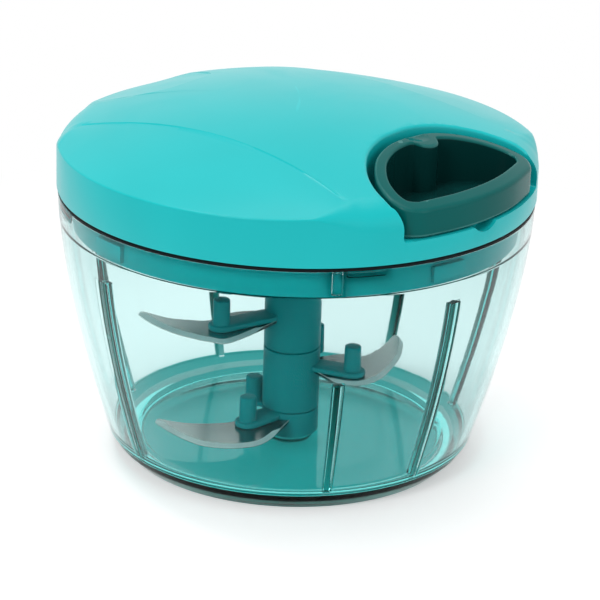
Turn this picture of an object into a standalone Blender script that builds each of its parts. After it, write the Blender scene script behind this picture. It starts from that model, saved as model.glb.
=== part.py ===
"""Pull-cord food chopper: clear bowl, lid with a recoil drum and three-blade column.

The bowl stands on z = 0 with its axis on Z. Sizes are in metres. The pull handle
lies in the lid at HANDLE_AZIMUTH, measured from +X; "out" is the way it is pulled.
"""

import math

import bmesh
import bpy
from mathutils import Matrix, Vector

# Working clearances
GAP = 0.0003
RUNNING_GAP = 0.0004
CUT_REACH = 0.0100
CUT_OVER = 0.0020
SAMPLES = 40

# Bowl
BOWL_RIM_RADIUS = 0.0617
BOWL_HEIGHT = 0.0698
BOWL_WALL = 0.0018
BELLY_POWER = 1.6
STEP_RADIUS = 0.0478
FOOT_INSET = 0.0038
FOOT_RING_WIDTH = 0.0030
STEP_HEIGHT = 0.0056
STEP_LIP = 0.0006
FLOOR_TOP = 0.0030
FLOOR_THICKNESS = 0.0018
WELL_INSET = 0.0083
WELL_DEPTH = 0.0014
WELL_LEDGE = 0.0040
PIN_BOSS_RADIUS = 0.0060
PIN_BOSS_DEPTH = 0.0006

# Ribs on the inside of the bowl: azimuth in degrees, how far the top lies under the lid's skirt
RIBS = ((-143, 0.0073), (-78, 0.0253), (-48, 0.0068), (15, 0.0078), (55, 0.0078), (116, 0.0078), (162, 0.0078))
RIB_THICKNESS = 0.0022
RIB_DEPTH = 0.0024

# Bayonet: lugs on the lid pass under ledges in the bowl
LOCK_COUNT = 4
LOCK_TURN = -12.5
LUG_ARC = 9.5
LUG_DEPTH = 0.0012
LUG_HEIGHT = 0.0042
LEDGE_DEPTH = 0.0016
LEDGE_HEIGHT = 0.0011
STOP_ARC = 2.5
STOP_GAP_ARC = 1.0

# Spindle pin
PIN_RADIUS = 0.0016
PIN_TOP = 0.0220
PIN_SEAT = 0.0018

# Sealing ring and lid cover
SEAL_THICKNESS = 0.0008
LID_OVERHANG = 0.0003
LID_RISE = 0.0241
LID_WALL = 0.0020
DOME_DROP = 0.0108
FACET_EDGE_DROP = 0.0013
SHOULDER_RADIUS = 0.0072
EDGE_RADIUS = 0.0005
EDGE_BLEND = 0.0080

# Facets cut from the dome: turn from the handle, depth in from the edge, flare, half width, power
SIDE_FACET = (90.0, 0.0297, 0.0045, 0.0467, 2)
REAR_FACET = (180.0, 0.0250, 0.0110, 0.0170, 4)

# Lid base
PLATE_THICKNESS = 0.0020
SKIRT_DEPTH = 0.0074
SKIRT_WALL = 0.0018
HUB_WALL = 0.0030
HUB_DEPTH = 0.0050
SCREW_INSET = 0.0120
SCREW_COUNT = 3
SCREW_LENGTH = 0.0120
SCREW_RADIUS = 0.0012
SCREW_HEAD_RADIUS = 0.0030
SCREW_HEAD_HEIGHT = 0.0014
SCREW_HEAD_TAPER = 0.7
SCREW_BOSS_RADIUS = 0.0036

# Handle: half of its outline, as depth in from the lid's edge and width across the pull
HANDLE_AZIMUTH = -38.0
HANDLE_OUTLINE = ((0.0294, 0.0), (0.0289, 0.0070), (0.0262, 0.0148), (0.0209, 0.0217),
                  (0.0148, 0.0256), (0.0095, 0.0263), (0.0059, 0.0238))
HANDLE_FRONT_INSET = 0.0008
HANDLE_CORNER_ARC = 4.0
HANDLE_BACK_WALL = 0.0028
HANDLE_FRONT_WALL = 0.0040
HANDLE_TOP_INSET = 0.0010
HANDLE_BOSS_RADIUS = 0.0040
HANDLE_BOSS_INSET = 0.0265
KNOT_POCKET_RADIUS = 0.0027
RECESS_CLEARANCE = 0.0019
RECESS_RISE = 0.0054
THUMB_NOTCH_RADIUS = 0.0045
THUMB_NOTCH_DEPTH = 0.0021
THUMB_NOTCH_ACROSS = -0.0035
THUMB_NOTCH_REACH = 0.0040
RECESS_BED = 0.0029

# Cord and its drum
CORD_RADIUS = 0.00075
CORD_ACROSS = 0.0050
CORD_BORE = 0.0015
CORD_BEND = 0.0015
CORD_TURNS = 3.2
TURN_PITCH = 0.00195
TURN_POINTS = 24
DRUM_RADIUS = 0.0152
DRUM_WALL = 0.0016
DRUM_FLANGE = 0.0055
DRUM_FLANGE_THICKNESS = 0.0012
DRUM_FLOOR = 0.0016
DRUM_HUB_RADIUS = 0.0048
SPRING_HEIGHT = 0.0060
SPRING_BAND = 0.0004
SPRING_TURNS = 5.5
SPRING_COVER_THICKNESS = 0.0008
AXLE_RADIUS = 0.0030
AXLE_SEAT = 0.0040
AXLE_CORE_DEPTH = 0.0072
DOME_BOSS_RADIUS = 0.0062
WASHER_RADIUS = 0.0056
WASHER_THICKNESS = 0.0008
GUIDE_RADIUS = 0.0026
GUIDE_FLANGE = 0.0010
GUIDE_FLANGE_THICKNESS = 0.0008

# One-way clutch between the drum and the drive hub
HUB_TUBE_RADIUS = 0.0080
HUB_DISC_THICKNESS = 0.0012
RATCHET_TEETH = 16
RATCHET_TIP = 0.0142
RATCHET_ROOT = 0.0158
RATCHET_OUTER = 0.0180
RATCHET_HEIGHT = 0.0030
RATCHET_FACE = 27.5
PAWL_COUNT = 2
PAWL_PIVOT = 0.0100
PAWL_PIN_RADIUS = 0.0012
PAWL_EYE = 0.0024
PAWL_LENGTH = 0.0070
PAWL_TIP_RADIUS = 0.0005
PAWL_REST_ANGLE = -76.0
PAWL_AZIMUTH = 60.0
BUSH_WALL = 0.0010
THRUST_WASHER_THICKNESS = 0.0005

# Blade column
COLUMN_RADIUS = 0.0075
COLUMN_TOP_GAP = 0.0022
MIDDLE_SEAM = 0.0273
LOWER_SEAM = 0.0100
COLUMN_FOOT_GAP = 0.0004
CORE_FLATS = 0.0072
CORE_FOOT = 0.0050
CORE_ROOT = 0.0020
COLUMN_BORE = 0.0032
DRIVE_FLATS = 0.0092
DRIVE_END_GAP = 0.0008

# Blades: level of the underside, plan outline from root to tip and back, pegs on the root
BLADE_THICKNESS = 0.0008
BLADE_ROOT = 0.0052
PEG_RADIUS = 0.0023
PEG_HEIGHT = 0.0078
PAD_THICKNESS = 0.0011
PAD_RADIUS = 0.0034
RIVET_RADIUS = 0.0015
RIVET_HEAD = 0.0024
UPPER_BLADE = {
    "level": 0.0352,
    "front": ((-0.0155, -0.0203), (-0.0210, -0.0203), (-0.0255, -0.0183), (-0.0295, -0.0160),
              (-0.0335, -0.0126), (-0.0370, -0.0087), (-0.0405, -0.0034)),
    "back": ((-0.0390, -0.0026), (-0.0356, -0.0046), (-0.0320, -0.0065), (-0.0268, -0.0074),
             (-0.0216, -0.0072), (-0.0158, -0.0010)),
    "root": (-158.0, 0.0072),
    "pegs": ((-0.0184, -0.0128), (-0.0032, 0.0097)),
}
MIDDLE_BLADE = {
    "level": 0.0209,
    "front": ((0.0110, -0.0105), (0.0168, -0.0124), (0.0217, -0.0095), (0.0248, -0.0046),
              (0.0270, 0.0010), (0.0287, 0.0060), (0.0297, 0.0110), (0.0302, 0.0180)),
    "back": ((0.0280, 0.0220), (0.0266, 0.0190), (0.0250, 0.0148), (0.0230, 0.0110),
             (0.0184, 0.0060), (0.0134, 0.0074)),
    "root": (2.0, 0.0072),
    "pegs": ((0.0160, -0.0065), (0.0063, 0.0080)),
}
LOWER_BLADE = {
    "level": 0.0077,
    "front": ((-0.0062, -0.0208), (-0.0132, -0.0248), (-0.0208, -0.0245), (-0.0257, -0.0216),
              (-0.0307, -0.0165), (-0.0352, -0.0105)),
    "back": ((-0.0342, -0.0092), (-0.0282, -0.0110), (-0.0232, -0.0112), (-0.0182, -0.0105),
             (-0.0145, -0.0090)),
    "root": (-122.0, 0.0072),
    "pegs": ((-0.0110, -0.0112), (-0.0098, 0.0030)),
}

# Levels and radii that follow from the sizes above
FOOT_RADIUS = STEP_RADIUS - FOOT_INSET
WELL_RADIUS = STEP_RADIUS - WELL_INSET
LID_RADIUS = BOWL_RIM_RADIUS + LID_OVERHANG
SCREW_CIRCLE = LID_RADIUS - SCREW_INSET
HANDLE_BOSS_OUT = LID_RADIUS - HANDLE_BOSS_INSET
SEAL_BOTTOM = BOWL_HEIGHT + GAP
SEAL_TOP = SEAL_BOTTOM + SEAL_THICKNESS
LID_EDGE = SEAL_TOP + GAP
DOME_TOP = LID_EDGE + LID_RISE
RECESS_FLOOR = LID_EDGE + RECESS_RISE
PLATE_BOTTOM = LID_EDGE
PLATE_TOP = PLATE_BOTTOM + PLATE_THICKNESS
SKIRT_BOTTOM = PLATE_BOTTOM - SKIRT_DEPTH
SKIRT_RADIUS = BOWL_RIM_RADIUS - BOWL_WALL - LEDGE_DEPTH - RUNNING_GAP
LUG_BOTTOM = SKIRT_BOTTOM
LEDGE_BOTTOM = LUG_BOTTOM + LUG_HEIGHT + GAP
THRUST_BOTTOM = PLATE_TOP + GAP
HUB_DISC_BOTTOM = THRUST_BOTTOM + THRUST_WASHER_THICKNESS + GAP
HUB_DISC_TOP = HUB_DISC_BOTTOM + HUB_DISC_THICKNESS
HUB_TOP = HUB_DISC_TOP + RATCHET_HEIGHT
DRUM_BOTTOM = HUB_TOP + GAP
GROOVE_BOTTOM = DRUM_BOTTOM + DRUM_FLANGE_THICKNESS
GROOVE_TOP = GROOVE_BOTTOM + 2 * (CORD_RADIUS + GAP) + TURN_PITCH * CORD_TURNS
DRUM_TOP = GROOVE_TOP + DRUM_FLANGE_THICKNESS
SPRING_BOTTOM = DRUM_BOTTOM + DRUM_FLOOR + GAP
SPRING_TOP = SPRING_BOTTOM + SPRING_HEIGHT
SPRING_COVER_BOTTOM = SPRING_TOP + GAP
CAVITY_RADIUS = DRUM_RADIUS - DRUM_WALL
WASHER_TOP = DRUM_BOTTOM - GAP
WASHER_BOTTOM = WASHER_TOP - WASHER_THICKNESS
PITCH_RADIUS = DRUM_RADIUS + GAP + CORD_RADIUS
CORD_LEVEL = GROOVE_BOTTOM + CORD_RADIUS + GAP
HANDLE_FRONT_RADIUS = LID_RADIUS - HANDLE_FRONT_INSET
HUB_FOOT = PLATE_BOTTOM - HUB_DEPTH
BUSH_RADIUS = HUB_TUBE_RADIUS + GAP + BUSH_WALL
COLUMN_TOP = HUB_FOOT - COLUMN_TOP_GAP
COLUMN_FOOT = FLOOR_TOP + COLUMN_FOOT_GAP
DRIVE_TOP = HUB_DISC_BOTTOM - DRIVE_END_GAP
RATCHET_PITCH = 360.0 / RATCHET_TEETH

COLOURS = {
    "lid_teal": ((0.11, 0.62, 0.62), 0.35, 0.0),
    "base_teal": ((0.01, 0.35, 0.36), 0.35, 0.0),
    "column_teal": ((0.01, 0.27, 0.29), 0.40, 0.0),
    "handle_green": ((0.02, 0.13, 0.12), 0.30, 0.0),
    "clear_teal": ((0.45, 0.80, 0.78), 0.05, 0.0),
    "seal_black": ((0.01, 0.03, 0.03), 0.60, 0.0),
    "steel": ((0.60, 0.64, 0.62), 0.25, 1.0),
    "white_plastic": ((0.80, 0.80, 0.78), 0.45, 0.0),
    "cord_white": ((0.75, 0.75, 0.72), 0.80, 0.0),
}


def clear_scene():
    """Remove everything that the scene holds."""
    for item in list(bpy.data.objects):
        bpy.data.objects.remove(item, do_unlink=True)


def new_collection(name):
    """Make a collection in the scene."""
    group = bpy.data.collections.new(name)
    bpy.context.scene.collection.children.link(group)
    return group


clear_scene()
PARTS = new_collection("food_chopper")
CUTTERS = new_collection("cutters")


def material(name):
    """The Principled material of one finish, made once."""
    if name in bpy.data.materials:
        return bpy.data.materials[name]
    colour, roughness, metallic = COLOURS[name]
    made = bpy.data.materials.new(name)
    made.use_nodes = True
    shader = made.node_tree.nodes["Principled BSDF"]
    shader.inputs["Base Color"].default_value = (*colour, 1.0)
    shader.inputs["Roughness"].default_value = roughness
    shader.inputs["Metallic"].default_value = metallic
    return made


def add_object(name, mesh, finish=None):
    """Link a mesh as a part with a finish, or as a hidden cutter without one."""
    item = bpy.data.objects.new(name, mesh)
    if finish is None:
        CUTTERS.objects.link(item)
        item.hide_render = True
        item.display_type = "WIRE"
    else:
        PARTS.objects.link(item)
        item.data.materials.append(material(finish))
        item.data.shade_smooth()
        item.data.set_sharp_from_angle(angle=math.radians(35))
    return item


def turned(name, profile, finish=None, steps=SAMPLES, closed=False):
    """Turn (radius, height) points about Z; they run down the outer side, top to bottom."""
    mesh = bpy.data.meshes.new(name)
    count = len(profile)
    edges = [(i, i + 1) for i in range(count - 1)]
    if closed:
        edges.append((count - 1, 0))
    mesh.from_pydata([(r, 0.0, z) for r, z in profile], edges, [])
    item = add_object(name, mesh, finish)
    screw = item.modifiers.new("turn", "SCREW")
    screw.steps = steps
    screw.render_steps = steps
    screw.use_merge_vertices = True
    screw.merge_threshold = 0.00001
    return item


def cylinder(name, radius, bottom, top, finish=None, steps=24):
    """A plain round solid about Z."""
    return turned(name, [(0.0, top), (radius, top), (radius, bottom), (0.0, bottom)], finish, steps)


def ring(name, inner, outer, bottom, top, finish=None, steps=SAMPLES):
    """A plain round ring about Z."""
    profile = [(inner, top), (outer, top), (outer, bottom), (inner, bottom)]
    return turned(name, profile, finish, steps, closed=True)


def plate(name, outlines, bottom, top, finish=None):
    """Extrude flat closed outlines, later ones as holes, between two heights."""
    flat = bpy.data.curves.new(name + "_outline", "CURVE")
    flat.dimensions = "2D"
    flat.fill_mode = "BOTH"
    flat.extrude = (top - bottom) / 2
    for outline in outlines:
        spline = flat.splines.new("POLY")
        spline.points.add(len(outline) - 1)
        for point, (x, y) in zip(spline.points, outline):
            point.co = (x, y, 0.0, 1.0)
        spline.use_cyclic_u = True
    shape = bpy.data.objects.new(name + "_outline", flat)
    CUTTERS.objects.link(shape)
    shape.location.z = (top + bottom) / 2
    return baked(shape, name, finish)


def tube(name, points, radius, finish=None, sides=2):
    """A round cord or wire through the points, with filled ends."""
    line = bpy.data.curves.new(name + "_path", "CURVE")
    line.dimensions = "3D"
    line.bevel_depth = radius
    line.bevel_resolution = sides
    line.use_fill_caps = True
    spline = line.splines.new("POLY")
    spline.points.add(len(points) - 1)
    for point, place in zip(spline.points, points):
        point.co = (*place, 1.0)
    shape = bpy.data.objects.new(name + "_path", line)
    CUTTERS.objects.link(shape)
    return baked(shape, name, finish)


def baked(shape, name, finish):
    """Turn a curve object into a welded mesh object and remove the curve."""
    bpy.context.view_layer.update()
    graph = bpy.context.evaluated_depsgraph_get()
    mesh = bpy.data.meshes.new_from_object(shape.evaluated_get(graph))
    mesh.name = name
    mesh.materials.clear()
    place = shape.matrix_world.copy()
    bpy.data.objects.remove(shape, do_unlink=True)
    work = bmesh.new()
    work.from_mesh(mesh)
    bmesh.ops.remove_doubles(work, verts=work.verts, dist=0.000002)
    bmesh.ops.recalc_face_normals(work, faces=work.faces)
    work.to_mesh(mesh)
    work.free()
    item = add_object(name, mesh, finish)
    item.matrix_world = place
    return item


def boolean(item, other, operation):
    """Cut or join another solid, which becomes a hidden cutter."""
    step = item.modifiers.new(operation.lower() + "_" + other.name, "BOOLEAN")
    step.operation = operation
    step.solver = "EXACT"
    step.object = other


def cut(item, *others):
    """Take the other solids away from this one."""
    for other in others:
        boolean(item, other, "DIFFERENCE")


def join(item, *others):
    """Add the other solids to this one."""
    for other in others:
        boolean(item, other, "UNION")


def place(item, x=0.0, y=0.0, z=0.0, turn=0.0):
    """Set a solid's place and its turn about Z, in degrees."""
    item.location = (x, y, z)
    item.rotation_euler = (0.0, 0.0, math.radians(turn))
    return item


def aim_out(item, out, across, level):
    """Lay a solid made along Z so that it points out along the pull."""
    turn = Matrix.Rotation(math.radians(HANDLE_AZIMUTH), 4, "Z")
    lay = Matrix.Rotation(math.radians(90), 4, "Y")
    item.matrix_world = turn @ Matrix.Translation((out, across, level)) @ lay
    return item


def pull_plan(points):
    """Turn plan points from the handle's own axes to the part's."""
    a = math.radians(HANDLE_AZIMUTH)
    return [(x * math.cos(a) - y * math.sin(a), x * math.sin(a) + y * math.cos(a)) for x, y in points]


def arc(radius, start, end, count):
    """Points on a circle about the axis, from one azimuth to another in degrees."""
    steps = [start + (end - start) * i / (count - 1) for i in range(count)]
    return [(radius * math.cos(math.radians(a)), radius * math.sin(math.radians(a))) for a in steps]


def sector(name, inner, outer, start, end, bottom, top, finish=None):
    """A block between two radii and two azimuths."""
    outline = arc(outer, start, end, 8) + arc(inner, end, start, 8)
    return plate(name, [outline], bottom, top, finish)


def hexagon(name, flats, bottom, top):
    """A hexagonal cutter or stub about the axis."""
    return cylinder(name, flats / math.sqrt(3), bottom, top, steps=6)


def smooth_loop(points, per_span):
    """A closed curve through the points, with even rounding."""
    loop = []
    count = len(points)
    for i in range(count):
        a, b, c, d = (Vector(points[(i + k) % count]) for k in (-1, 0, 1, 2))
        for step in range(per_span):
            t = step / per_span
            place_on = 0.5 * (2 * b + (c - a) * t + (2 * a - 5 * b + 4 * c - d) * t * t
                              + (3 * b - a - 3 * c + d) * t ** 3)
            loop.append((place_on.x, place_on.y))
    return loop


def offset_loop(points, distance):
    """Move each point of an anticlockwise loop outwards; distance may follow its x."""
    moved = []
    count = len(points)
    for i, here in enumerate(points):
        before, after = Vector(points[i - 1]), Vector(points[(i + 1) % count])
        along = (after - before).normalized()
        reach = distance(here[0])
        moved.append((here[0] + along.y * reach, here[1] - along.x * reach))
    return moved


def handle_loop():
    """The handle's outer outline: a rounded triangle whose front follows the lid."""
    half = [(LID_RADIUS - depth, across) for depth, across in HANDLE_OUTLINE]
    tip = math.degrees(math.atan2(half[-1][1], half[-1][0])) - HANDLE_CORNER_ARC
    front = arc(HANDLE_FRONT_RADIUS, -tip, tip, 5)
    upper = list(reversed(half))
    lower = [(x, -y) for x, y in half[1:]]
    return smooth_loop(front + upper + lower, 3)


def handle_wall(x):
    """How far the finger opening lies inside the outline at a given place."""
    back, front = LID_RADIUS - HANDLE_OUTLINE[0][0], HANDLE_FRONT_RADIUS
    share = (x - back) / (front - back)
    return -(HANDLE_BACK_WALL + (HANDLE_FRONT_WALL - HANDLE_BACK_WALL) * share)


def recess_loop(extra):
    """The recess outline: round the handle, then straight out past the lid's side."""
    loop = offset_loop(handle_loop(), lambda x: RECESS_CLEARANCE + extra)
    widest = max(y for x, y in loop)
    turn_at = max(x for x, y in loop if y == widest)
    kept = [p for p in loop if p[0] <= turn_at]
    upper = sorted((p for p in kept if p[1] > 0), key=lambda p: -p[0])
    lower = sorted((p for p in kept if p[1] <= 0), key=lambda p: p[0])
    beyond = LID_RADIUS + CUT_REACH
    return [(beyond, widest), *upper, *lower, (beyond, -widest)]


def dome_height(radius):
    """Height of the plain dome at a radius."""
    return DOME_TOP - DOME_DROP * (radius / LID_RADIUS) ** 2


def facets():
    """The three facets: azimuth of the middle, then depth, flare, half width and power."""
    turn, *side = SIDE_FACET
    rear_turn, *rear = REAR_FACET
    return [(HANDLE_AZIMUTH + turn, *side), (HANDLE_AZIMUTH - turn, *side), (HANDLE_AZIMUTH + rear_turn, *rear)]


def crease(t, depth, flare, half_width, power):
    """How far the crease of a facet lies from the axis, at t across it."""
    return LID_RADIUS - depth + flare * abs(t / half_width) ** power


def facet_end(depth, flare, half_width, power):
    """Where across a facet its crease runs out at the lid's side."""
    t = 0.0
    while crease(t, depth, flare, half_width, power) ** 2 + t * t < LID_RADIUS ** 2:
        t += 0.0002
    return t


def facet_height(x, y, facet):
    """Height of a facet over a plan point, or of the dome where the facet doesn't reach."""
    azimuth, *shape = facet
    a = math.radians(azimuth)
    s = x * math.cos(a) + y * math.sin(a)
    t = -x * math.sin(a) + y * math.cos(a)
    end = facet_end(*shape)
    start = crease(t, *shape)
    if s <= start or abs(t) >= end:
        return dome_height(math.hypot(x, y))
    rim = math.sqrt(LID_RADIUS ** 2 - t * t)
    top = dome_height(math.hypot(start, t))
    drop = FACET_EDGE_DROP * (1.0 - (abs(t) / end) ** 6)
    low = dome_height(LID_RADIUS) - drop
    return top + (low - top) * min((s - start) / max(rim - start, 0.0001), 1.0)


def edge_radius(azimuth):
    """Rounding of the lid's top edge: small along the facets, large between them."""
    share = 0.0
    for centre, *shape in facets():
        turn = math.radians(azimuth - centre)
        if math.cos(turn) > 0:
            inside = facet_end(*shape) - abs(LID_RADIUS * math.sin(turn))
            share = max(share, min(max(inside / EDGE_BLEND, 0.0), 1.0))
    return SHOULDER_RADIUS + (EDGE_RADIUS - SHOULDER_RADIUS) * share


def lid_profile(azimuth, inset, bottom):
    """Points from the top of the lid down its side at one azimuth, moved in by inset."""
    a = math.radians(azimuth)
    wall = LID_RADIUS - inset
    rounding = max(edge_radius(azimuth) - inset, EDGE_RADIUS)
    flat_radii = [0.15, 0.30, 0.44, 0.52, 0.60, 0.68, 0.76, 0.84, 0.92, 1.0]
    radii = [(wall - rounding) * share for share in flat_radii]
    points = []
    for r in radii:
        x, y = r * math.cos(a), r * math.sin(a)
        points.append((r, min(facet_height(x, y, facet) for facet in facets()) - inset))
    last = points[-1][1]
    for step in (0.25, 0.5, 0.75, 1.0):
        bend = step * math.pi / 2
        fall = rounding * (1.0 - math.cos(bend)) + 0.25 * rounding * math.sin(bend) * math.cos(bend)
        points.append((wall - rounding + rounding * math.sin(bend), last - fall))
    points.append((wall, bottom))
    return points


def lid_solid(name, inset, bottom, finish=None):
    """A loft of the lid's profiles round the axis, closed underneath."""
    columns = [lid_profile(360.0 * i / SAMPLES, inset, bottom) for i in range(SAMPLES)]
    vertices = [(0.0, 0.0, DOME_TOP - inset)]
    for i, column in enumerate(columns):
        a = 2 * math.pi * i / SAMPLES
        vertices += [(r * math.cos(a), r * math.sin(a), z) for r, z in column]
    depth = len(columns[0])
    faces = []
    for i in range(SAMPLES):
        here, after = 1 + i * depth, 1 + ((i + 1) % SAMPLES) * depth
        faces.append((0, here, after))
        for k in range(depth - 1):
            faces.append((here + k, here + k + 1, after + k + 1, after + k))
    faces.append(tuple(reversed([i * depth + depth for i in range(SAMPLES)])))
    mesh = bpy.data.meshes.new(name)
    mesh.from_pydata(vertices, [], faces)
    return add_object(name, mesh, finish)


def bowl_radius(height):
    """Outer radius of the bowl's wall at a height above the step."""
    share = min(max((height - STEP_HEIGHT) / (BOWL_HEIGHT - STEP_HEIGHT), 0.0), 1.0)
    start = STEP_RADIUS + STEP_LIP
    return start + (BOWL_RIM_RADIUS - start) * (1.0 - (1.0 - share) ** BELLY_POWER)


def make_bowl():
    """The clear bowl with its foot, ribs and bayonet ledges."""
    levels = [STEP_HEIGHT + (BOWL_HEIGHT - STEP_HEIGHT) * (i / 9) for i in range(10)]
    ledge_top = FLOOR_TOP + WELL_DEPTH
    ledge_radius = WELL_RADIUS + WELL_LEDGE
    floor_bottom = FLOOR_TOP - FLOOR_THICKNESS
    inner_levels = [z for z in levels[1:-1]]
    outer = [(bowl_radius(z), z) for z in reversed(levels)]
    foot = [(STEP_RADIUS, STEP_HEIGHT - STEP_LIP), (FOOT_RADIUS, 0.0), (FOOT_RADIUS - FOOT_RING_WIDTH, 0.0),
            (FOOT_RADIUS - FOOT_RING_WIDTH, floor_bottom), (PIN_BOSS_RADIUS, floor_bottom),
            (PIN_BOSS_RADIUS, floor_bottom - PIN_BOSS_DEPTH), (0.0, floor_bottom - PIN_BOSS_DEPTH)]
    well = [(0.0, FLOOR_TOP), (WELL_RADIUS, FLOOR_TOP), (WELL_RADIUS + WELL_DEPTH / 2, ledge_top),
            (ledge_radius, ledge_top)]
    inner = [(bowl_radius(z) - BOWL_WALL, z) for z in inner_levels]
    rim = [(BOWL_RIM_RADIUS - BOWL_WALL, BOWL_HEIGHT)]
    profile = outer + foot + well + inner + rim
    bowl = turned("bowl", profile, "clear_teal", closed=False)
    close_profile(bowl)
    for number, (azimuth, drop) in enumerate(RIBS):
        join(bowl, rib(f"rib_{number}", azimuth, SKIRT_BOTTOM - drop))
    for number in range(LOCK_COUNT):
        middle = HANDLE_AZIMUTH + LOCK_TURN - RATCHET_PITCH + 360.0 * number / LOCK_COUNT
        inner_face = BOWL_RIM_RADIUS - BOWL_WALL - LEDGE_DEPTH
        ledge_outer = BOWL_RIM_RADIUS - BOWL_WALL / 2
        ledge = sector(f"ledge_{number}", inner_face, ledge_outer, middle - LUG_ARC / 2, middle + LUG_ARC / 2,
                       LEDGE_BOTTOM, LEDGE_BOTTOM + LEDGE_HEIGHT)
        stop_start = middle - LUG_ARC / 2 - STOP_GAP_ARC - STOP_ARC
        stop = sector(f"stop_{number}", inner_face, ledge_outer, stop_start, stop_start + STOP_ARC,
                      LUG_BOTTOM, LEDGE_BOTTOM + LEDGE_HEIGHT)
        join(bowl, ledge, stop)
    cut(bowl, cylinder("pin_seat", PIN_RADIUS + GAP, PIN_SEAT - GAP, FLOOR_TOP + CUT_OVER))
    return bowl


def close_profile(item):
    """Join the last point of an open profile to the first, for a solid with no core."""
    mesh = item.data
    count = len(mesh.vertices)
    points = [vertex.co.copy() for vertex in mesh.vertices]
    edges = [(i, i + 1) for i in range(count - 1)] + [(count - 1, 0)]
    axis = [i for i, p in enumerate(points) if p.x == 0.0]
    edges = [e for e in edges if e != (axis[0], axis[-1])]
    mesh.clear_geometry()
    mesh.from_pydata(points, edges, [])


def rib(name, azimuth, top):
    """A fin on the bowl's inner wall, from the floor ledge up to its square top."""
    foot = FLOOR_TOP + WELL_DEPTH / 2
    heights = [foot + (top - foot) * i / 4 for i in range(5)]
    inside = [(bowl_radius(z) - BOWL_WALL - RIB_DEPTH, z) for z in heights]
    outside = [(bowl_radius(z) - BOWL_WALL / 2, z) for z in reversed(heights)]
    inside[0] = (WELL_RADIUS + WELL_LEDGE, foot)
    outside[-1] = (WELL_RADIUS + WELL_LEDGE + BOWL_WALL, foot)
    fin = plate(name, [inside + outside], -RIB_THICKNESS / 2, RIB_THICKNESS / 2)
    stand = Matrix.Rotation(math.radians(90), 4, "X")
    fin.matrix_world = Matrix.Rotation(math.radians(azimuth), 4, "Z") @ stand
    return fin


def make_seal():
    """The sealing ring between the bowl's rim and the lid's edge."""
    return ring("rim_seal", SKIRT_RADIUS + GAP, BOWL_RIM_RADIUS, SEAL_BOTTOM, SEAL_TOP, "seal_black")


def screw_places():
    """Plan places of the lid screws, clear of the handle's recess."""
    return arc(SCREW_CIRCLE, HANDLE_AZIMUTH + 60.0, HANDLE_AZIMUTH + 300.0, SCREW_COUNT)


def make_lid_cover():
    """The domed cover with its facets, handle recess and bosses."""
    cover = lid_solid("lid_cover", 0.0, LID_EDGE, "lid_teal")
    hollow = lid_solid("lid_hollow", LID_WALL, SKIRT_BOTTOM)
    above = DOME_TOP + CUT_REACH
    tray = plate("recess_tray", [pull_plan(recess_loop(LID_WALL))], RECESS_FLOOR - RECESS_BED, above)
    keep = [tray, cylinder("axle_boss", DOME_BOSS_RADIUS, DRUM_TOP + 2 * GAP, above)]
    for number, (x, y) in enumerate(screw_places()):
        boss = cylinder(f"screw_boss_{number}", SCREW_BOSS_RADIUS, PLATE_TOP + GAP, above)
        keep.append(place(boss, x, y))
    cut(hollow, *keep)
    recess = plate("recess", [pull_plan(recess_loop(0.0))], RECESS_FLOOR, above)
    bore_top = DRUM_TOP + 2 * GAP + AXLE_SEAT
    axle_bore = cylinder("axle_bore", AXLE_RADIUS + GAP, SPRING_BOTTOM, bore_top)
    guide_hole = cylinder("guide_hole", GUIDE_RADIUS + GAP, -LID_WALL, 3 * LID_WALL)
    aim_out(guide_hole, recess_back(CORD_ACROSS) - LID_WALL, CORD_ACROSS, CORD_LEVEL)
    notch = cylinder("thumb_notch", THUMB_NOTCH_RADIUS, LID_RADIUS - THUMB_NOTCH_REACH,
                     LID_RADIUS + THUMB_NOTCH_REACH)
    aim_out(notch, 0.0, THUMB_NOTCH_ACROSS, RECESS_FLOOR - THUMB_NOTCH_DEPTH + THUMB_NOTCH_RADIUS)
    cut(cover, hollow, recess, axle_bore, guide_hole, notch)
    for number, (x, y) in enumerate(screw_places()):
        bore_end = PLATE_BOTTOM + SCREW_LENGTH + GAP
        bore = cylinder(f"screw_bore_{number}", SCREW_RADIUS + GAP, SKIRT_BOTTOM, bore_end)
        cut(cover, place(bore, x, y))
    return cover


def recess_back(across):
    """Where the recess's back wall stands at a place across the pull."""
    near = [p for p in recess_loop(0.0) if p[0] < HANDLE_BOSS_OUT]
    return min(near, key=lambda p: abs(p[1] - across))[0]


def make_lid_base():
    """The lid's base plate with its skirt, bayonet lugs and bearing hub."""
    hub_bore = BUSH_RADIUS + GAP
    hub_outer = hub_bore + HUB_WALL
    flange = LID_RADIUS - LID_WALL - GAP
    profile = [(flange, PLATE_TOP), (flange, PLATE_BOTTOM), (SKIRT_RADIUS, PLATE_BOTTOM),
               (SKIRT_RADIUS, SKIRT_BOTTOM), (SKIRT_RADIUS - SKIRT_WALL, SKIRT_BOTTOM),
               (SKIRT_RADIUS - SKIRT_WALL, PLATE_BOTTOM - GAP), (hub_outer, PLATE_BOTTOM - GAP),
               (hub_outer, HUB_FOOT), (hub_bore, HUB_FOOT), (hub_bore, PLATE_TOP)]
    base = turned("lid_base", profile, "base_teal", closed=True)
    for number in range(LOCK_COUNT):
        middle = HANDLE_AZIMUTH + LOCK_TURN + 360.0 * number / LOCK_COUNT
        lug = sector(f"lug_{number}", SKIRT_RADIUS - SKIRT_WALL / 2, SKIRT_RADIUS + LUG_DEPTH,
                     middle - LUG_ARC / 2, middle + LUG_ARC / 2, LUG_BOTTOM, LUG_BOTTOM + LUG_HEIGHT)
        join(base, lug)
    for number, (x, y) in enumerate(screw_places()):
        hole = cylinder(f"screw_hole_{number}", SCREW_RADIUS + GAP, SKIRT_BOTTOM, PLATE_TOP + CUT_OVER)
        cut(base, place(hole, x, y))
    return base


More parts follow.
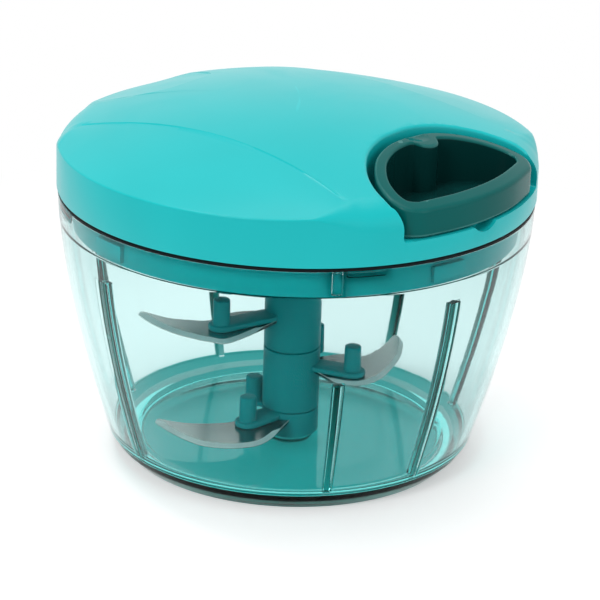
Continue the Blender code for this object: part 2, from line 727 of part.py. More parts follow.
def make_lid_screws():
    """Pan-head screws that hold the base plate to the cover."""
    for number, (x, y) in enumerate(screw_places()):
        head_top = PLATE_BOTTOM - 2 * GAP
        profile = [(0.0, head_top + SCREW_LENGTH), (SCREW_RADIUS, head_top + SCREW_LENGTH),
                   (SCREW_RADIUS, head_top), (SCREW_HEAD_RADIUS, head_top),
                   (SCREW_HEAD_RADIUS, head_top - SCREW_HEAD_HEIGHT / 2),
                   (SCREW_HEAD_RADIUS * SCREW_HEAD_TAPER, head_top - SCREW_HEAD_HEIGHT),
                   (0.0, head_top - SCREW_HEAD_HEIGHT)]
        place(turned(f"lid_screw_{number + 1}", profile, "steel", steps=16), x, y)


def make_bearing():
    """The bush in the lid's hub and the washer under the drive hub."""
    bush_bore = HUB_TUBE_RADIUS + GAP
    ring("bearing_bush", bush_bore, BUSH_RADIUS, HUB_FOOT + GAP, PLATE_TOP - GAP, "white_plastic", 32)
    ring("thrust_washer", bush_bore, BUSH_RADIUS + HUB_WALL, THRUST_BOTTOM,
         THRUST_BOTTOM + THRUST_WASHER_THICKNESS, "white_plastic", 32)


def make_drive_hub():
    """The drive hub: a hexagonal socket below and a ring of ratchet teeth above."""
    disc = (RATCHET_ROOT + RATCHET_OUTER) / 2
    profile = [(0.0, HUB_DISC_TOP), (disc, HUB_DISC_TOP), (disc, HUB_DISC_BOTTOM),
               (HUB_TUBE_RADIUS, HUB_DISC_BOTTOM), (HUB_TUBE_RADIUS, HUB_FOOT + GAP),
               (0.0, HUB_FOOT + GAP)]
    hub = turned("drive_hub", profile, "white_plastic", 40)
    teeth = []
    for number in range(RATCHET_TEETH):
        start = RATCHET_FACE + number * RATCHET_PITCH
        for share in (0.0, 0.5, 0.98):
            radius = RATCHET_ROOT + (RATCHET_TIP - RATCHET_ROOT) * share
            teeth += arc(radius, start + share * RATCHET_PITCH, start + share * RATCHET_PITCH, 2)[:1]
    rim = arc(RATCHET_OUTER, 0.0, 351.0, 40)
    toothed = plate("ratchet_ring", [rim, teeth], HUB_DISC_TOP - HUB_DISC_THICKNESS / 2, HUB_TOP)
    join(hub, toothed)
    cut(hub, hexagon("drive_socket", DRIVE_FLATS + 2 * GAP, SKIRT_BOTTOM, DRIVE_TOP + DRIVE_END_GAP / 2))
    return hub


def make_drum():
    """The cord drum with its cavity for the recoil spring and two pawl posts."""
    flange = DRUM_RADIUS + DRUM_FLANGE
    cover_seat = CAVITY_RADIUS + DRUM_WALL / 2
    profile = [(flange, DRUM_TOP), (flange, GROOVE_TOP), (DRUM_RADIUS, GROOVE_TOP),
               (DRUM_RADIUS, GROOVE_BOTTOM), (flange, GROOVE_BOTTOM), (flange, DRUM_BOTTOM),
               (AXLE_RADIUS + GAP, DRUM_BOTTOM), (AXLE_RADIUS + GAP, SPRING_TOP - GAP),
               (DRUM_HUB_RADIUS, SPRING_TOP - GAP), (DRUM_HUB_RADIUS, SPRING_BOTTOM - GAP),
               (CAVITY_RADIUS, SPRING_BOTTOM - GAP), (CAVITY_RADIUS, SPRING_TOP),
               (cover_seat, SPRING_TOP), (cover_seat, DRUM_TOP)]
    drum = turned("cord_drum", profile, "white_plastic", 40, closed=True)
    for number in range(PAWL_COUNT):
        post = cylinder(f"pawl_post_{number}", PAWL_PIN_RADIUS, HUB_DISC_TOP + GAP,
                        DRUM_BOTTOM + DRUM_FLANGE_THICKNESS / 2, steps=12)
        x, y = pawl_pivot(number)
        join(drum, place(post, x, y))
    return drum


def pawl_pivot(number):
    """Plan place of a pawl's post."""
    azimuth = math.radians(PAWL_AZIMUTH + 360.0 * number / PAWL_COUNT)
    return PAWL_PIVOT * math.cos(azimuth), PAWL_PIVOT * math.sin(azimuth)


def make_pawls():
    """Two pawls, folded in at rest, that swing out into the ratchet ring."""
    bottom = HUB_DISC_TOP + 2 * GAP
    top = DRUM_BOTTOM - 2 * GAP
    for number in range(PAWL_COUNT):
        eye = arc(PAWL_EYE, 60.0, 300.0, 9)
        tip = [(PAWL_LENGTH + x, y) for x, y in arc(PAWL_TIP_RADIUS, -80.0, 80.0, 5)]
        hole = arc(PAWL_PIN_RADIUS + GAP, 0.0, 330.0, 12)
        pawl = plate(f"pawl_{number + 1}", [eye + tip, hole], bottom, top, "white_plastic")
        x, y = pawl_pivot(number)
        azimuth = PAWL_AZIMUTH + 360.0 * number / PAWL_COUNT
        pawl.location.x = x
        pawl.location.y = y
        pawl.rotation_euler.z = math.radians(azimuth + PAWL_REST_ANGLE)


def make_recoil_spring():
    """The flat spiral spring in the drum, wound from a thin steel band."""
    inner = DRUM_HUB_RADIUS + GAP + SPRING_BAND
    outer = CAVITY_RADIUS - GAP - SPRING_BAND
    count = int(SPRING_TURNS * 18)
    line = []
    for i in range(count + 1):
        a = 2 * math.pi * SPRING_TURNS * i / count
        r = inner + (outer - inner) * i / count
        line.append((r * math.cos(a), r * math.sin(a)))
    mesh = bpy.data.meshes.new("recoil_spring")
    low = [(x, y, SPRING_BOTTOM) for x, y in line]
    high = [(x, y, SPRING_TOP - GAP) for x, y in line]
    faces = [(i, i + 1, count + 2 + i, count + 1 + i) for i in range(count)]
    mesh.from_pydata(low + high, [], faces)
    spring = add_object("recoil_spring", mesh, "steel")
    wall = spring.modifiers.new("band", "SOLIDIFY")
    wall.thickness = SPRING_BAND
    wall.offset = 0.0


def make_axle():
    """The drum's axle in the dome's boss, with the washer and screw under the drum."""
    top = DRUM_TOP + GAP + AXLE_SEAT
    bottom = DRUM_BOTTOM
    core = SCREW_RADIUS + GAP
    shaft = cylinder("drum_axle", AXLE_RADIUS, bottom, top, "steel")
    cut(shaft, cylinder("axle_core", core, bottom - CUT_OVER, bottom + AXLE_CORE_DEPTH, steps=16))
    ring("axle_washer", core, WASHER_RADIUS, WASHER_BOTTOM, WASHER_TOP, "steel", 24)
    head_top = WASHER_BOTTOM - GAP
    head_bottom = HUB_DISC_TOP + GAP
    shank_top = bottom + AXLE_CORE_DEPTH - GAP
    profile = [(0.0, shank_top), (SCREW_RADIUS, shank_top), (SCREW_RADIUS, head_top),
               (SCREW_HEAD_RADIUS, head_top), (SCREW_HEAD_RADIUS * SCREW_HEAD_TAPER, head_bottom), (0.0, head_bottom)]
    turned("axle_screw", profile, "steel", 16)
    cover_radius = CAVITY_RADIUS + DRUM_WALL / 2 - GAP
    ring("spring_cover", DRUM_HUB_RADIUS - GAP, cover_radius, SPRING_COVER_BOTTOM,
         SPRING_COVER_BOTTOM + SPRING_COVER_THICKNESS, "steel", 40)


def guide_mouth():
    """How far out the cord guide's inner end lies."""
    return recess_back(CORD_ACROSS) - 2 * LID_WALL


def cord_corner():
    """Plan place, in the handle's axes, where the cord turns towards the guide."""
    return Vector((guide_mouth() - LID_WALL, CORD_ACROSS))


def tangent_angle():
    """Azimuth, from the pull's direction, where the cord leaves the drum."""
    corner = cord_corner()
    return math.atan2(corner.y, corner.x) + math.acos(PITCH_RADIUS / corner.length)


def print_least_gap(name, points, radius):
    """Print the least gap that a winding leaves between its own turns."""
    half = TURN_POINTS // 2
    least = min(math.dist(a, b) for i, a in enumerate(points) for b in points[i + half:])
    print(f"{name}: least gap to itself {(least - 2 * radius) * 1000:.2f} mm")


def make_winding():
    """The cord on the drum, turn above turn from where it leaves."""
    start = tangent_angle() + math.radians(HANDLE_AZIMUTH)
    count = int(CORD_TURNS * TURN_POINTS)
    turns = []
    for i in range(count + 1):
        a = start + 2 * math.pi * i / TURN_POINTS
        z = CORD_LEVEL + TURN_PITCH * i / TURN_POINTS
        turns.append((PITCH_RADIUS * math.cos(a), PITCH_RADIUS * math.sin(a), z))
    print_least_gap("cord_winding", turns, CORD_RADIUS)
    tube("cord_winding", turns, CORD_RADIUS, "cord_white", 1)


def make_cord_run():
    """The cord from just outside the turning winding, through the guide, to the handle."""
    leave = tangent_angle()
    drum_side = Vector((PITCH_RADIUS * math.cos(leave), PITCH_RADIUS * math.sin(leave)))
    corner = cord_corner()
    along = (corner - drum_side).normalized()
    winding_reach = PITCH_RADIUS + 2 * CORD_RADIUS + RUNNING_GAP
    first = drum_side + along * math.sqrt(winding_reach ** 2 - PITCH_RADIUS ** 2)
    before = corner - along * CORD_BEND
    after = corner + Vector((CORD_BEND, 0.0))
    bend = [before.lerp(corner, t).lerp(corner.lerp(after, t), t) for t in (0.0, 0.25, 0.5, 0.75, 1.0)]
    knot_face = HANDLE_BOSS_OUT - KNOT_POCKET_RADIUS + 2 * GAP
    route = [tuple(first), *(tuple(point) for point in bend), (knot_face, CORD_ACROSS)]
    run = [(x, y, CORD_LEVEL) for x, y in pull_plan(route)]
    tube("cord_run", run, CORD_RADIUS, "cord_white", 2)


def make_knot():
    """The knot at the cord's end, in the pocket of the handle's boss."""
    radius = KNOT_POCKET_RADIUS - 2 * GAP
    bend = [(radius * math.sin(a), CORD_LEVEL + radius * math.cos(a)) for a in (math.pi * i / 8 for i in range(9))]
    bend[0] = (0.0, bend[0][1])
    bend[-1] = (0.0, bend[-1][1])
    knot = turned("cord_knot", bend, "cord_white", 16)
    x, y = pull_plan([(HANDLE_BOSS_OUT + GAP, CORD_ACROSS)])[0]
    knot.location = (x, y, 0.0)


def make_cord_guide():
    """The flanged eyelet in the recess's back wall."""
    length = 2 * LID_WALL
    profile = [(CORD_BORE, length), (GUIDE_RADIUS, length), (GUIDE_RADIUS, GUIDE_FLANGE_THICKNESS),
               (GUIDE_RADIUS + GUIDE_FLANGE, GUIDE_FLANGE_THICKNESS), (GUIDE_RADIUS + GUIDE_FLANGE, 0.0),
               (CORD_BORE, 0.0)]
    guide = turned("cord_guide", profile, "steel", 24, closed=True)
    aim_out(guide, guide_mouth() - GAP, CORD_ACROSS, CORD_LEVEL)


def make_handle():
    """The pull handle: a rounded triangular ring with a boss for the cord."""
    outline = handle_loop()
    opening = offset_loop(outline, handle_wall)
    bottom = RECESS_FLOOR + GAP
    top = DOME_TOP
    handle = plate("pull_handle", [pull_plan(outline), pull_plan(opening)], bottom, top, "handle_green")
    x, y = pull_plan([(HANDLE_BOSS_OUT, CORD_ACROSS)])[0]
    boss = place(cylinder("cord_boss", HANDLE_BOSS_RADIUS, bottom + GAP, top - GAP), x, y)
    sky = lid_sky("handle_trim")
    pocket = cylinder("knot_pocket", KNOT_POCKET_RADIUS, bottom - CUT_OVER, CORD_LEVEL + 2 * KNOT_POCKET_RADIUS)
    place(pocket, x, y)
    cord_hole = cylinder("cord_hole", CORD_RADIUS + GAP, -CUT_REACH, 0.0, steps=12)
    aim_out(cord_hole, HANDLE_BOSS_OUT, CORD_ACROSS, CORD_LEVEL)
    join(handle, boss)
    cut(handle, sky, pocket, cord_hole)
    return handle


def lid_sky(name):
    """Everything above a dome that lies HANDLE_TOP_INSET under the lid's."""
    radii = [LID_RADIUS * 1.15 * i / 12 for i in range(13)]
    under = [(r, dome_height(r) - HANDLE_TOP_INSET) for r in reversed(radii)]
    return turned(name, [(0.0, DOME_TOP + CUT_REACH), (radii[-1], DOME_TOP + CUT_REACH), *under])


def make_spindle_pin():
    """The steel pin in the bowl's floor that the blade column turns on."""
    tip = PIN_RADIUS * 0.5
    profile = [(0.0, PIN_TOP), (PIN_RADIUS - tip, PIN_TOP), (PIN_RADIUS, PIN_TOP - tip),
               (PIN_RADIUS, PIN_SEAT), (0.0, PIN_SEAT)]
    turned("spindle_pin", profile, "steel", 24)


def blade_outline(blade):
    """The blade's plan: a root tab in the column, then the curved blade."""
    azimuth, width = blade["root"]
    a = math.radians(azimuth)
    across = (-math.sin(a), math.cos(a))
    half = width / 2
    ends = [(BLADE_ROOT * math.cos(a) + side * half * across[0],
             BLADE_ROOT * math.sin(a) + side * half * across[1]) for side in (1, -1)]
    first = Vector(blade["front"][0])
    ends.sort(key=lambda p: (Vector(p) - first).length)
    return [ends[0], *blade["front"], *blade["back"], ends[1]]


def anticlockwise(outline):
    """The outline in anticlockwise order, whichever way it runs."""
    area = sum(a[0] * b[1] - b[0] * a[1] for a, b in zip(outline, outline[1:] + outline[:1]))
    return outline if area > 0 else outline[::-1]


def make_blade(name, blade):
    """One curved steel blade with the hole that its peg's rivet passes through."""
    level = blade["level"]
    x, y = blade["pegs"][0]
    hole = [(x + px, y + py) for px, py in arc(RIVET_RADIUS + GAP, 0.0, 330.0, 12)]
    plate(name, [blade_outline(blade), hole], level, level + BLADE_THICKNESS, "steel")


def link_loop(start, end, radius):
    """A stadium outline round two plan points."""
    along = math.degrees(math.atan2(end[1] - start[1], end[0] - start[0]))
    far = [(end[0] + x, end[1] + y) for x, y in arc(radius, along - 90.0, along + 90.0, 9)]
    near = [(start[0] + x, start[1] + y) for x, y in arc(radius, along + 90.0, along + 270.0, 9)]
    return far + near


def add_arm(carrier, name, blade):
    """Add the pads and pegs, cut the blade's pocket, then add the rivet through the blade."""
    level = blade["level"]
    top = level + BLADE_THICKNESS
    pad_top = top + GAP + PAD_THICKNESS
    for number, (x, y) in enumerate(blade["pegs"]):
        radius = PAD_RADIUS if number == 0 else PEG_RADIUS * 0.8
        share = (BLADE_ROOT + radius) / math.hypot(x, y)
        link = link_loop((x * share, y * share), (x, y), radius)
        join(carrier, plate(f"{name}_pad_{number}", [link], level + BLADE_THICKNESS / 2, pad_top))
        post = cylinder(f"{name}_peg_{number}", PEG_RADIUS, top + 2 * GAP, top + GAP + PEG_HEIGHT, steps=16)
        join(carrier, place(post, x, y))
    pocket = offset_loop(anticlockwise(blade_outline(blade)), lambda x: GAP)
    cut(carrier, plate(name + "_pocket", [pocket], level - GAP, top + GAP))
    rivet_bottom = level - GAP - PAD_THICKNESS
    rivet = cylinder(name + "_rivet", RIVET_RADIUS, rivet_bottom + GAP, top + PAD_THICKNESS, steps=12)
    head = cylinder(name + "_head", RIVET_HEAD, rivet_bottom, level - GAP, steps=16)
    join(carrier, place(rivet, *blade["pegs"][0]), place(head, *blade["pegs"][0]))


def make_blade_column():
    """Three carriers stacked on a hexagonal core, each holding one blade."""
    upper = cylinder("carrier_upper", COLUMN_RADIUS, MIDDLE_SEAM, COLUMN_TOP, "column_teal", 40)
    core = hexagon("core", CORE_FLATS, CORE_FOOT, MIDDLE_SEAM + CORE_ROOT)
    drive = hexagon("drive_head", DRIVE_FLATS, COLUMN_TOP - CORE_ROOT, DRIVE_TOP)
    join(upper, core, drive)
    bore_foot = MIDDLE_SEAM + 2 * CORE_ROOT
    cut(upper, cylinder("column_bore", COLUMN_BORE, bore_foot, DRIVE_TOP + CUT_OVER))
    cut(upper, cylinder("pin_bore", PIN_RADIUS + GAP, 0.0, PIN_TOP + GAP))
    add_arm(upper, "upper", UPPER_BLADE)
    middle = ring_carrier("carrier_middle", LOWER_SEAM + GAP, MIDDLE_SEAM - GAP)
    add_arm(middle, "middle", MIDDLE_BLADE)
    lower = cylinder("carrier_lower", COLUMN_RADIUS, COLUMN_FOOT, LOWER_SEAM, "column_teal", 40)
    cut(lower, hexagon("lower_socket", CORE_FLATS + 2 * GAP, CORE_FOOT - GAP, LOWER_SEAM + CUT_OVER))
    cut(lower, cylinder("lower_pin_bore", PIN_RADIUS + GAP, 0.0, CORE_FOOT + CUT_OVER))
    add_arm(lower, "lower", LOWER_BLADE)


def ring_carrier(name, bottom, top):
    """A round carrier with a hexagonal hole for the core."""
    carrier = cylinder(name, COLUMN_RADIUS, bottom, top, "column_teal", 40)
    cut(carrier, hexagon(name + "_socket", CORE_FLATS + 2 * GAP, bottom - CUT_OVER, top + CUT_OVER))
    return carrier


def build():
    """Make every piece of the chopper."""
    make_bowl()
    make_spindle_pin()
    make_seal()
    make_lid_cover()
    make_lid_base()
    make_lid_screws()
    make_bearing()
    make_drive_hub()
    make_drum()
    make_pawls()
    make_recoil_spring()
    make_axle()
    make_winding()
    make_cord_run()
    make_knot()
    make_cord_guide()
    make_handle()
    make_blade_column()
    make_blade("blade_upper", UPPER_BLADE)
    make_blade("blade_middle", MIDDLE_BLADE)
    make_blade("blade_lower", LOWER_BLADE)


build()
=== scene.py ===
"""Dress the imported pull-cord food chopper and set it in a plain pale studio.

Sizes are in metres. The bowl stands on z = 0 with its axis on Z. The pull handle lies in
the lid at HANDLE_AZIMUTH, measured from +X, and slides straight out along that line.
"""

import logging
import math
from collections.abc import Callable, Sequence
from dataclasses import dataclass, field
from enum import Enum
from functools import cached_property

import bmesh
import bpy
from mathutils import Matrix, Vector


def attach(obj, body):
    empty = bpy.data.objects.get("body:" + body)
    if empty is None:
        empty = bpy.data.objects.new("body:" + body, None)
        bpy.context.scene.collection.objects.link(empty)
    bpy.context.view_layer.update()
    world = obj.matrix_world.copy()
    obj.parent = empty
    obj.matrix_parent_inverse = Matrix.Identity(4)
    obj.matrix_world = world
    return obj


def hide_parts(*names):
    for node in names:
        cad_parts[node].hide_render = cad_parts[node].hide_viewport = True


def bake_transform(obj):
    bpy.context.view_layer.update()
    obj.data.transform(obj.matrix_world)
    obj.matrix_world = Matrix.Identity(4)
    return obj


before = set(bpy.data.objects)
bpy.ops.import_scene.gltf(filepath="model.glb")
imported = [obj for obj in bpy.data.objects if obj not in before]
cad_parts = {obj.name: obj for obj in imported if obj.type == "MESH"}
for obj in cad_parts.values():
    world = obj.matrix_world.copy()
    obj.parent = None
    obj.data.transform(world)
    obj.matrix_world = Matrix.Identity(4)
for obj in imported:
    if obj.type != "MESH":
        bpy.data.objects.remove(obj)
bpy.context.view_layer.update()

LOG = logging.getLogger("food_chopper")

Point = tuple[float, float, float]
Plan = tuple[float, float]
Profile = list[Plan]
Colour = tuple[float, float, float]

# Clearances shared by the pieces
GAP = 0.0003
WELD = 0.000002

# Levels and radii that several sub-assemblies share
RIM_RADIUS = 0.0617
LID_RADIUS = 0.0620
RIM_HEIGHT = 0.0698
WALL = 0.0018
LID_EDGE = 0.0712
DOME_TOP = 0.0953
DOME_DROP = 0.0108
SKIRT_BOTTOM = 0.0638
SKIRT_RADIUS = 0.0579
PLATE_TOP = 0.0732
HUB_FOOT = 0.0662
RECESS_FLOOR = 0.0766
CORD_LEVEL = 0.08105
CORD_RADIUS = 0.00075
HANDLE_AZIMUTH = -38.0


def link_mesh(name: str, mesh: bpy.types.Mesh) -> bpy.types.Object:
    """Put a mesh in the scene as an object of the same name."""
    mesh.name = name
    item = bpy.data.objects.new(name, mesh)
    bpy.context.scene.collection.objects.link(item)
    return item


def weld(item: bpy.types.Object, turn_out: bool = True) -> bpy.types.Object:
    """Merge a mesh's doubled points and turn its faces outwards.

    Args:
        item: The mesh object to clean.
        turn_out: Whether the normals are worked out again.

    Returns:
        The same object.
    """
    work = bmesh.new()
    work.from_mesh(item.data)
    bmesh.ops.remove_doubles(work, verts=work.verts, dist=WELD)
    bmesh.ops.dissolve_degenerate(work, edges=work.edges, dist=WELD / 4)
    if turn_out:
        bmesh.ops.recalc_face_normals(work, faces=work.faces)
    work.to_mesh(item.data)
    work.free()
    return item


def loft(name: str, rows: Sequence[Sequence[Point]], cap_first: bool = False, cap_last: bool = False) -> bpy.types.Object:
    """Join closed loops of points, one row to the next, into a welded solid.

    Args:
        name: The new object's name.
        rows: Loops with the same number of points; a pole is a loop of equal points.
        cap_first: Whether one face closes the first loop.
        cap_last: Whether one face closes the last loop.

    Returns:
        The new object.
    """
    across = len(rows[0])
    faces: list[tuple[int, ...]] = []
    for row in range(len(rows) - 1):
        for step in range(across):
            here, after = row * across + step, row * across + (step + 1) % across
            faces.append((here, after, after + across, here + across))
    if cap_first:
        faces.append(tuple(reversed(range(across))))
    if cap_last:
        last = (len(rows) - 1) * across
        faces.append(tuple(range(last, last + across)))
    mesh = bpy.data.meshes.new(name)
    mesh.from_pydata([point for row in rows for point in row], [], faces)
    return weld(link_mesh(name, mesh))


def smooth(item: bpy.types.Object, sharp_angle: float = 35.0) -> bpy.types.Object:
    """Shade a mesh smooth, with edges past an angle in degrees left sharp."""
    item.data.shade_smooth()
    item.data.set_sharp_from_angle(angle=math.radians(sharp_angle))
    return item


def bake(item: bpy.types.Object) -> bpy.types.Object:
    """Put the result of an object's modifiers in its mesh, and remove them."""
    bpy.context.view_layer.update()
    graph = bpy.context.evaluated_depsgraph_get()
    mesh = bpy.data.meshes.new_from_object(item.evaluated_get(graph))
    item.modifiers.clear()
    mesh.name = item.name
    item.data = mesh
    return item


class Operation(Enum):
    """What a boolean does with the second solid."""

    CUT = "DIFFERENCE"
    ADD = "UNION"


def combine(item: bpy.types.Object, others: Sequence[bpy.types.Object], operation: Operation) -> bpy.types.Object:
    """Cut solids from a solid, or add them to it, and remove them.

    Args:
        item: The solid that is kept.
        others: Closed solids that are used up.
        operation: Whether they are cut away or added.

    Returns:
        The kept solid with its new mesh.
    """
    for other in others:
        step = item.modifiers.new(other.name, "BOOLEAN")
        step.operation = operation.value
        step.solver = "MANIFOLD"
        step.object = other
    bake(item)
    for other in others:
        bpy.data.objects.remove(other, do_unlink=True)
    return item


def dress(item: bpy.types.Object, material: bpy.types.Material) -> bpy.types.Object:
    """Give a mesh one material."""
    item.data.materials.clear()
    item.data.materials.append(material)
    return item


def place(item: bpy.types.Object, body: str, nodes: Sequence[str]) -> bpy.types.Object:
    """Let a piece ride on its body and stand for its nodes.

    Args:
        item: The finished piece, at the origin.
        body: The body that it moves with.
        nodes: The CAD nodes that it stands for.

    Returns:
        The same piece.
    """
    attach(item, body)
    if nodes:
        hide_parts(*nodes)
    LOG.info("%s rides on %s with %d faces", item.name, body, len(item.data.polygons))
    return item


def on_circle(radius: float, azimuth: float, height: float = 0.0) -> Point:
    """A point at a radius and an azimuth in degrees."""
    a = math.radians(azimuth)
    return (radius * math.cos(a), radius * math.sin(a), height)


def arc(radius: float, start: float, end: float, count: int) -> list[Plan]:
    """Plan points on a circle about the axis, between two azimuths in degrees."""
    turns = [start + (end - start) * i / (count - 1) for i in range(count)]
    return [on_circle(radius, turn)[:2] for turn in turns]


def pull_plan(points: Sequence[Plan]) -> list[Plan]:
    """Turn plan points from the handle's own axes to the part's."""
    a = math.radians(HANDLE_AZIMUTH)
    return [(x * math.cos(a) - y * math.sin(a), x * math.sin(a) + y * math.cos(a)) for x, y in points]


def dome_height(radius: float) -> float:
    """Height of the lid's plain dome at a radius."""
    return DOME_TOP - DOME_DROP * (radius / LID_RADIUS) ** 2


def ease(share: float) -> float:
    """A smooth step from 0 to 1."""
    held = min(max(share, 0.0), 1.0)
    return held * held * (3.0 - 2.0 * held)


def fillet(profile: Profile, radius: float, closed: bool = False, steps: int = 4) -> Profile:
    """Round the corners of a line of (radius, height) points.

    Args:
        profile: The corners in order.
        radius: The rounding, cut down where a side is too short for it.
        closed: Whether the last corner joins the first.
        steps: How many spans each rounding has.

    Returns:
        The rounded line.
    """
    count = len(profile)
    rounded: Profile = []
    for i, corner in enumerate(profile):
        if not closed and i in (0, count - 1):
            rounded.append(corner)
            continue
        here = Vector(corner)
        before, after = Vector(profile[i - 1]) - here, Vector(profile[(i + 1) % count]) - here
        reach = min(radius, before.length * 0.45, after.length * 0.45)
        if before.angle(after) > math.radians(172.0) or reach < WELD:
            rounded.append(corner)
            continue
        start, end = here + before.normalized() * reach, here + after.normalized() * reach
        for step in range(steps + 1):
            t = step / steps
            on_curve = start.lerp(here, t).lerp(here.lerp(end, t), t)
            rounded.append((on_curve.x, on_curve.y))
    return rounded


def smooth_loop(points: Sequence[Plan], per_span: int, closed: bool = True) -> list[Plan]:
    """An even curve through plan points.

    Args:
        points: The points to pass through.
        per_span: How many points each span gets.
        closed: Whether the curve runs back to its start.

    Returns:
        The points of the curve.
    """
    count = len(points)
    spans = count if closed else count - 1

    def pick(index: int) -> Vector:
        """A point by its number, held at the ends of an open curve."""
        return Vector(points[index % count] if closed else points[min(max(index, 0), count - 1)])

    curve: list[Plan] = []
    for i in range(spans):
        a, b, c, d = (pick(i + k) for k in (-1, 0, 1, 2))
        for step in range(per_span):
            t = step / per_span
            on_curve = 0.5 * (2 * b + (c - a) * t + (2 * a - 5 * b + 4 * c - d) * t * t
                              + (3 * b - a - 3 * c + d) * t ** 3)
            curve.append((on_curve.x, on_curve.y))
    if not closed:
        curve.append(tuple(points[-1]))
    return curve


def offset_loop(points: Sequence[Plan], distance: Callable[[Plan], float]) -> list[Plan]:
    """Move each point of an anticlockwise loop outwards by a distance that may vary."""
    moved: list[Plan] = []
    count = len(points)
    for i, here in enumerate(points):
        before, after = Vector(points[i - 1]), Vector(points[(i + 1) % count])
        along = (after - before).normalized()
        reach = distance(here)
        moved.append((here[0] + along.y * reach, here[1] - along.x * reach))
    return moved


def prism(name: str, outline: Sequence[Plan], bottom: float, top: float, edge: float = 0.0) -> bpy.types.Object:
    """A solid with a flat outline, with its top and bottom edges eased.

    Args:
        name: The new object's name.
        outline: The plan, anticlockwise.
        bottom: The height of the underside.
        top: The height of the upper side.
        edge: How far the edges are eased.

    Returns:
        The new object.
    """
    levels = [(0.0, bottom), (0.0, top)]
    if edge > 0.0:
        levels = [(edge, bottom), (edge * 0.3, bottom + edge * 0.3), (0.0, bottom + edge),
                  (0.0, top - edge), (edge * 0.3, top - edge * 0.3), (edge, top)]
    rows = []
    for inset, height in levels:
        plan = offset_loop(outline, lambda _point, depth=inset: -depth)
        rows.append([(x, y, height) for x, y in plan])
    return loft(name, rows, cap_first=True, cap_last=True)


class Tree:
    """Adds nodes to one node tree and joins their sockets."""

    def __init__(self, tree: bpy.types.NodeTree) -> None:
        """Keep the tree that nodes are added to."""
        self.tree = tree

    def put(self, kind: str, inputs: dict | None = None, **settings: object) -> bpy.types.Node:
        """Add a node, set its inputs to values or join them to sockets.

        Args:
            kind: Blender's name of the node type.
            inputs: Values or sockets, by the input's name or number.
            settings: The node's own properties.

        Returns:
            The new node.
        """
        node = self.tree.nodes.new(kind)
        for name, value in settings.items():
            setattr(node, name, value)
        for key, value in (inputs or {}).items():
            if isinstance(value, bpy.types.NodeSocket):
                self.tree.links.new(value, node.inputs[key])
            else:
                node.inputs[key].default_value = value
        return node

    def math(self, operation: str, *values: object) -> bpy.types.NodeSocket:
        """Put a Math node on values or sockets and return its result."""
        return self.put("ShaderNodeMath", dict(enumerate(values)), operation=operation).outputs[0]

    def whole(self, operation: str, *values: object) -> bpy.types.NodeSocket:
        """Put an Integer Math node on values or sockets and return its result."""
        return self.put("FunctionNodeIntegerMath", dict(enumerate(values)), operation=operation).outputs[0]


class ShapeTree(Tree):
    """A Geometry Nodes tree with named inputs that ends in one finished mesh."""

    def __init__(self, name: str, sockets: dict[str, str]) -> None:
        """Make the tree with a geometry input, named inputs and a material input."""
        super().__init__(bpy.data.node_groups.new(name, "GeometryNodeTree"))
        face = self.tree.interface
        face.new_socket(name="Geometry", in_out="INPUT", socket_type="NodeSocketGeometry")
        for label, kind in sockets.items():
            face.new_socket(name=label, in_out="INPUT", socket_type=kind)
        face.new_socket(name="Material", in_out="INPUT", socket_type="NodeSocketMaterial")
        face.new_socket(name="Geometry", in_out="OUTPUT", socket_type="NodeSocketGeometry")
        self.given = self.tree.nodes.new("NodeGroupInput").outputs

    def end(self, geometry: bpy.types.NodeSocket) -> None:
        """Realize instances, set the material and join the result to the output."""
        real = self.put("GeometryNodeRealizeInstances", {"Geometry": geometry})
        shaded = self.put("GeometryNodeSetShadeSmooth", {"Geometry": real.outputs[0]})
        dressed = self.put("GeometryNodeSetMaterial",
                           {"Geometry": shaded.outputs[0], "Material": self.given["Material"]})
        self.put("NodeGroupOutput", {"Geometry": dressed.outputs[0]})

    def grow(self, name: str, source: bpy.types.Mesh, material: bpy.types.Material,
             **values: float) -> bpy.types.Object:
        """Run the tree on a mesh and keep the result as a plain mesh.

        Args:
            name: The new object's name.
            source: The mesh that the tree starts from.
            material: The material of the result.
            values: The tree's named inputs, with underscores for spaces.

        Returns:
            The new object.
        """
        item = link_mesh(name, source)
        step = item.modifiers.new("grow", "NODES")
        step.node_group = self.tree
        wanted = {key.replace("_", " "): value for key, value in values.items()}
        wanted["Material"] = material
        for socket in self.tree.interface.items_tree:
            if socket.in_out == "INPUT" and socket.name in wanted:
                step[socket.identifier] = wanted[socket.name]
        return bake(item)


def turned_tree() -> ShapeTree:
    """A tree that turns a line of points about Z, for every round piece."""
    shape = ShapeTree("turned_piece", {"Segments": "NodeSocketInt"})
    line = shape.given["Geometry"]
    segments = shape.given["Segments"]
    size = shape.put("GeometryNodeAttributeDomainSize", {"Geometry": line}, component="MESH")
    count = size.outputs["Point Count"]
    grid = shape.put("GeometryNodeMeshGrid",
                     {"Vertices X": shape.whole("ADD", segments, 1), "Vertices Y": count})
    index = shape.put("GeometryNodeInputIndex").outputs[0]
    row = shape.whole("MODULO", index, count)
    column = shape.whole("DIVIDE_FLOOR", index, count)
    position = shape.put("GeometryNodeInputPosition").outputs[0]
    sampled = shape.put("GeometryNodeSampleIndex", {"Geometry": line, "Value": position, "Index": row},
                        data_type="FLOAT_VECTOR", domain="POINT")
    share = shape.math("DIVIDE", column, segments)
    angle = shape.math("MULTIPLY", share, 2 * math.pi)
    turned = shape.put("ShaderNodeVectorRotate", {"Vector": sampled.outputs[0], "Angle": angle},
                       rotation_type="Z_AXIS")
    moved = shape.put("GeometryNodeSetPosition", {"Geometry": grid.outputs["Mesh"], "Position": turned.outputs[0]})
    merged = shape.put("GeometryNodeMergeByDistance", {"Geometry": moved.outputs[0], "Distance": WELD})
    shape.end(merged.outputs[0])
    return shape


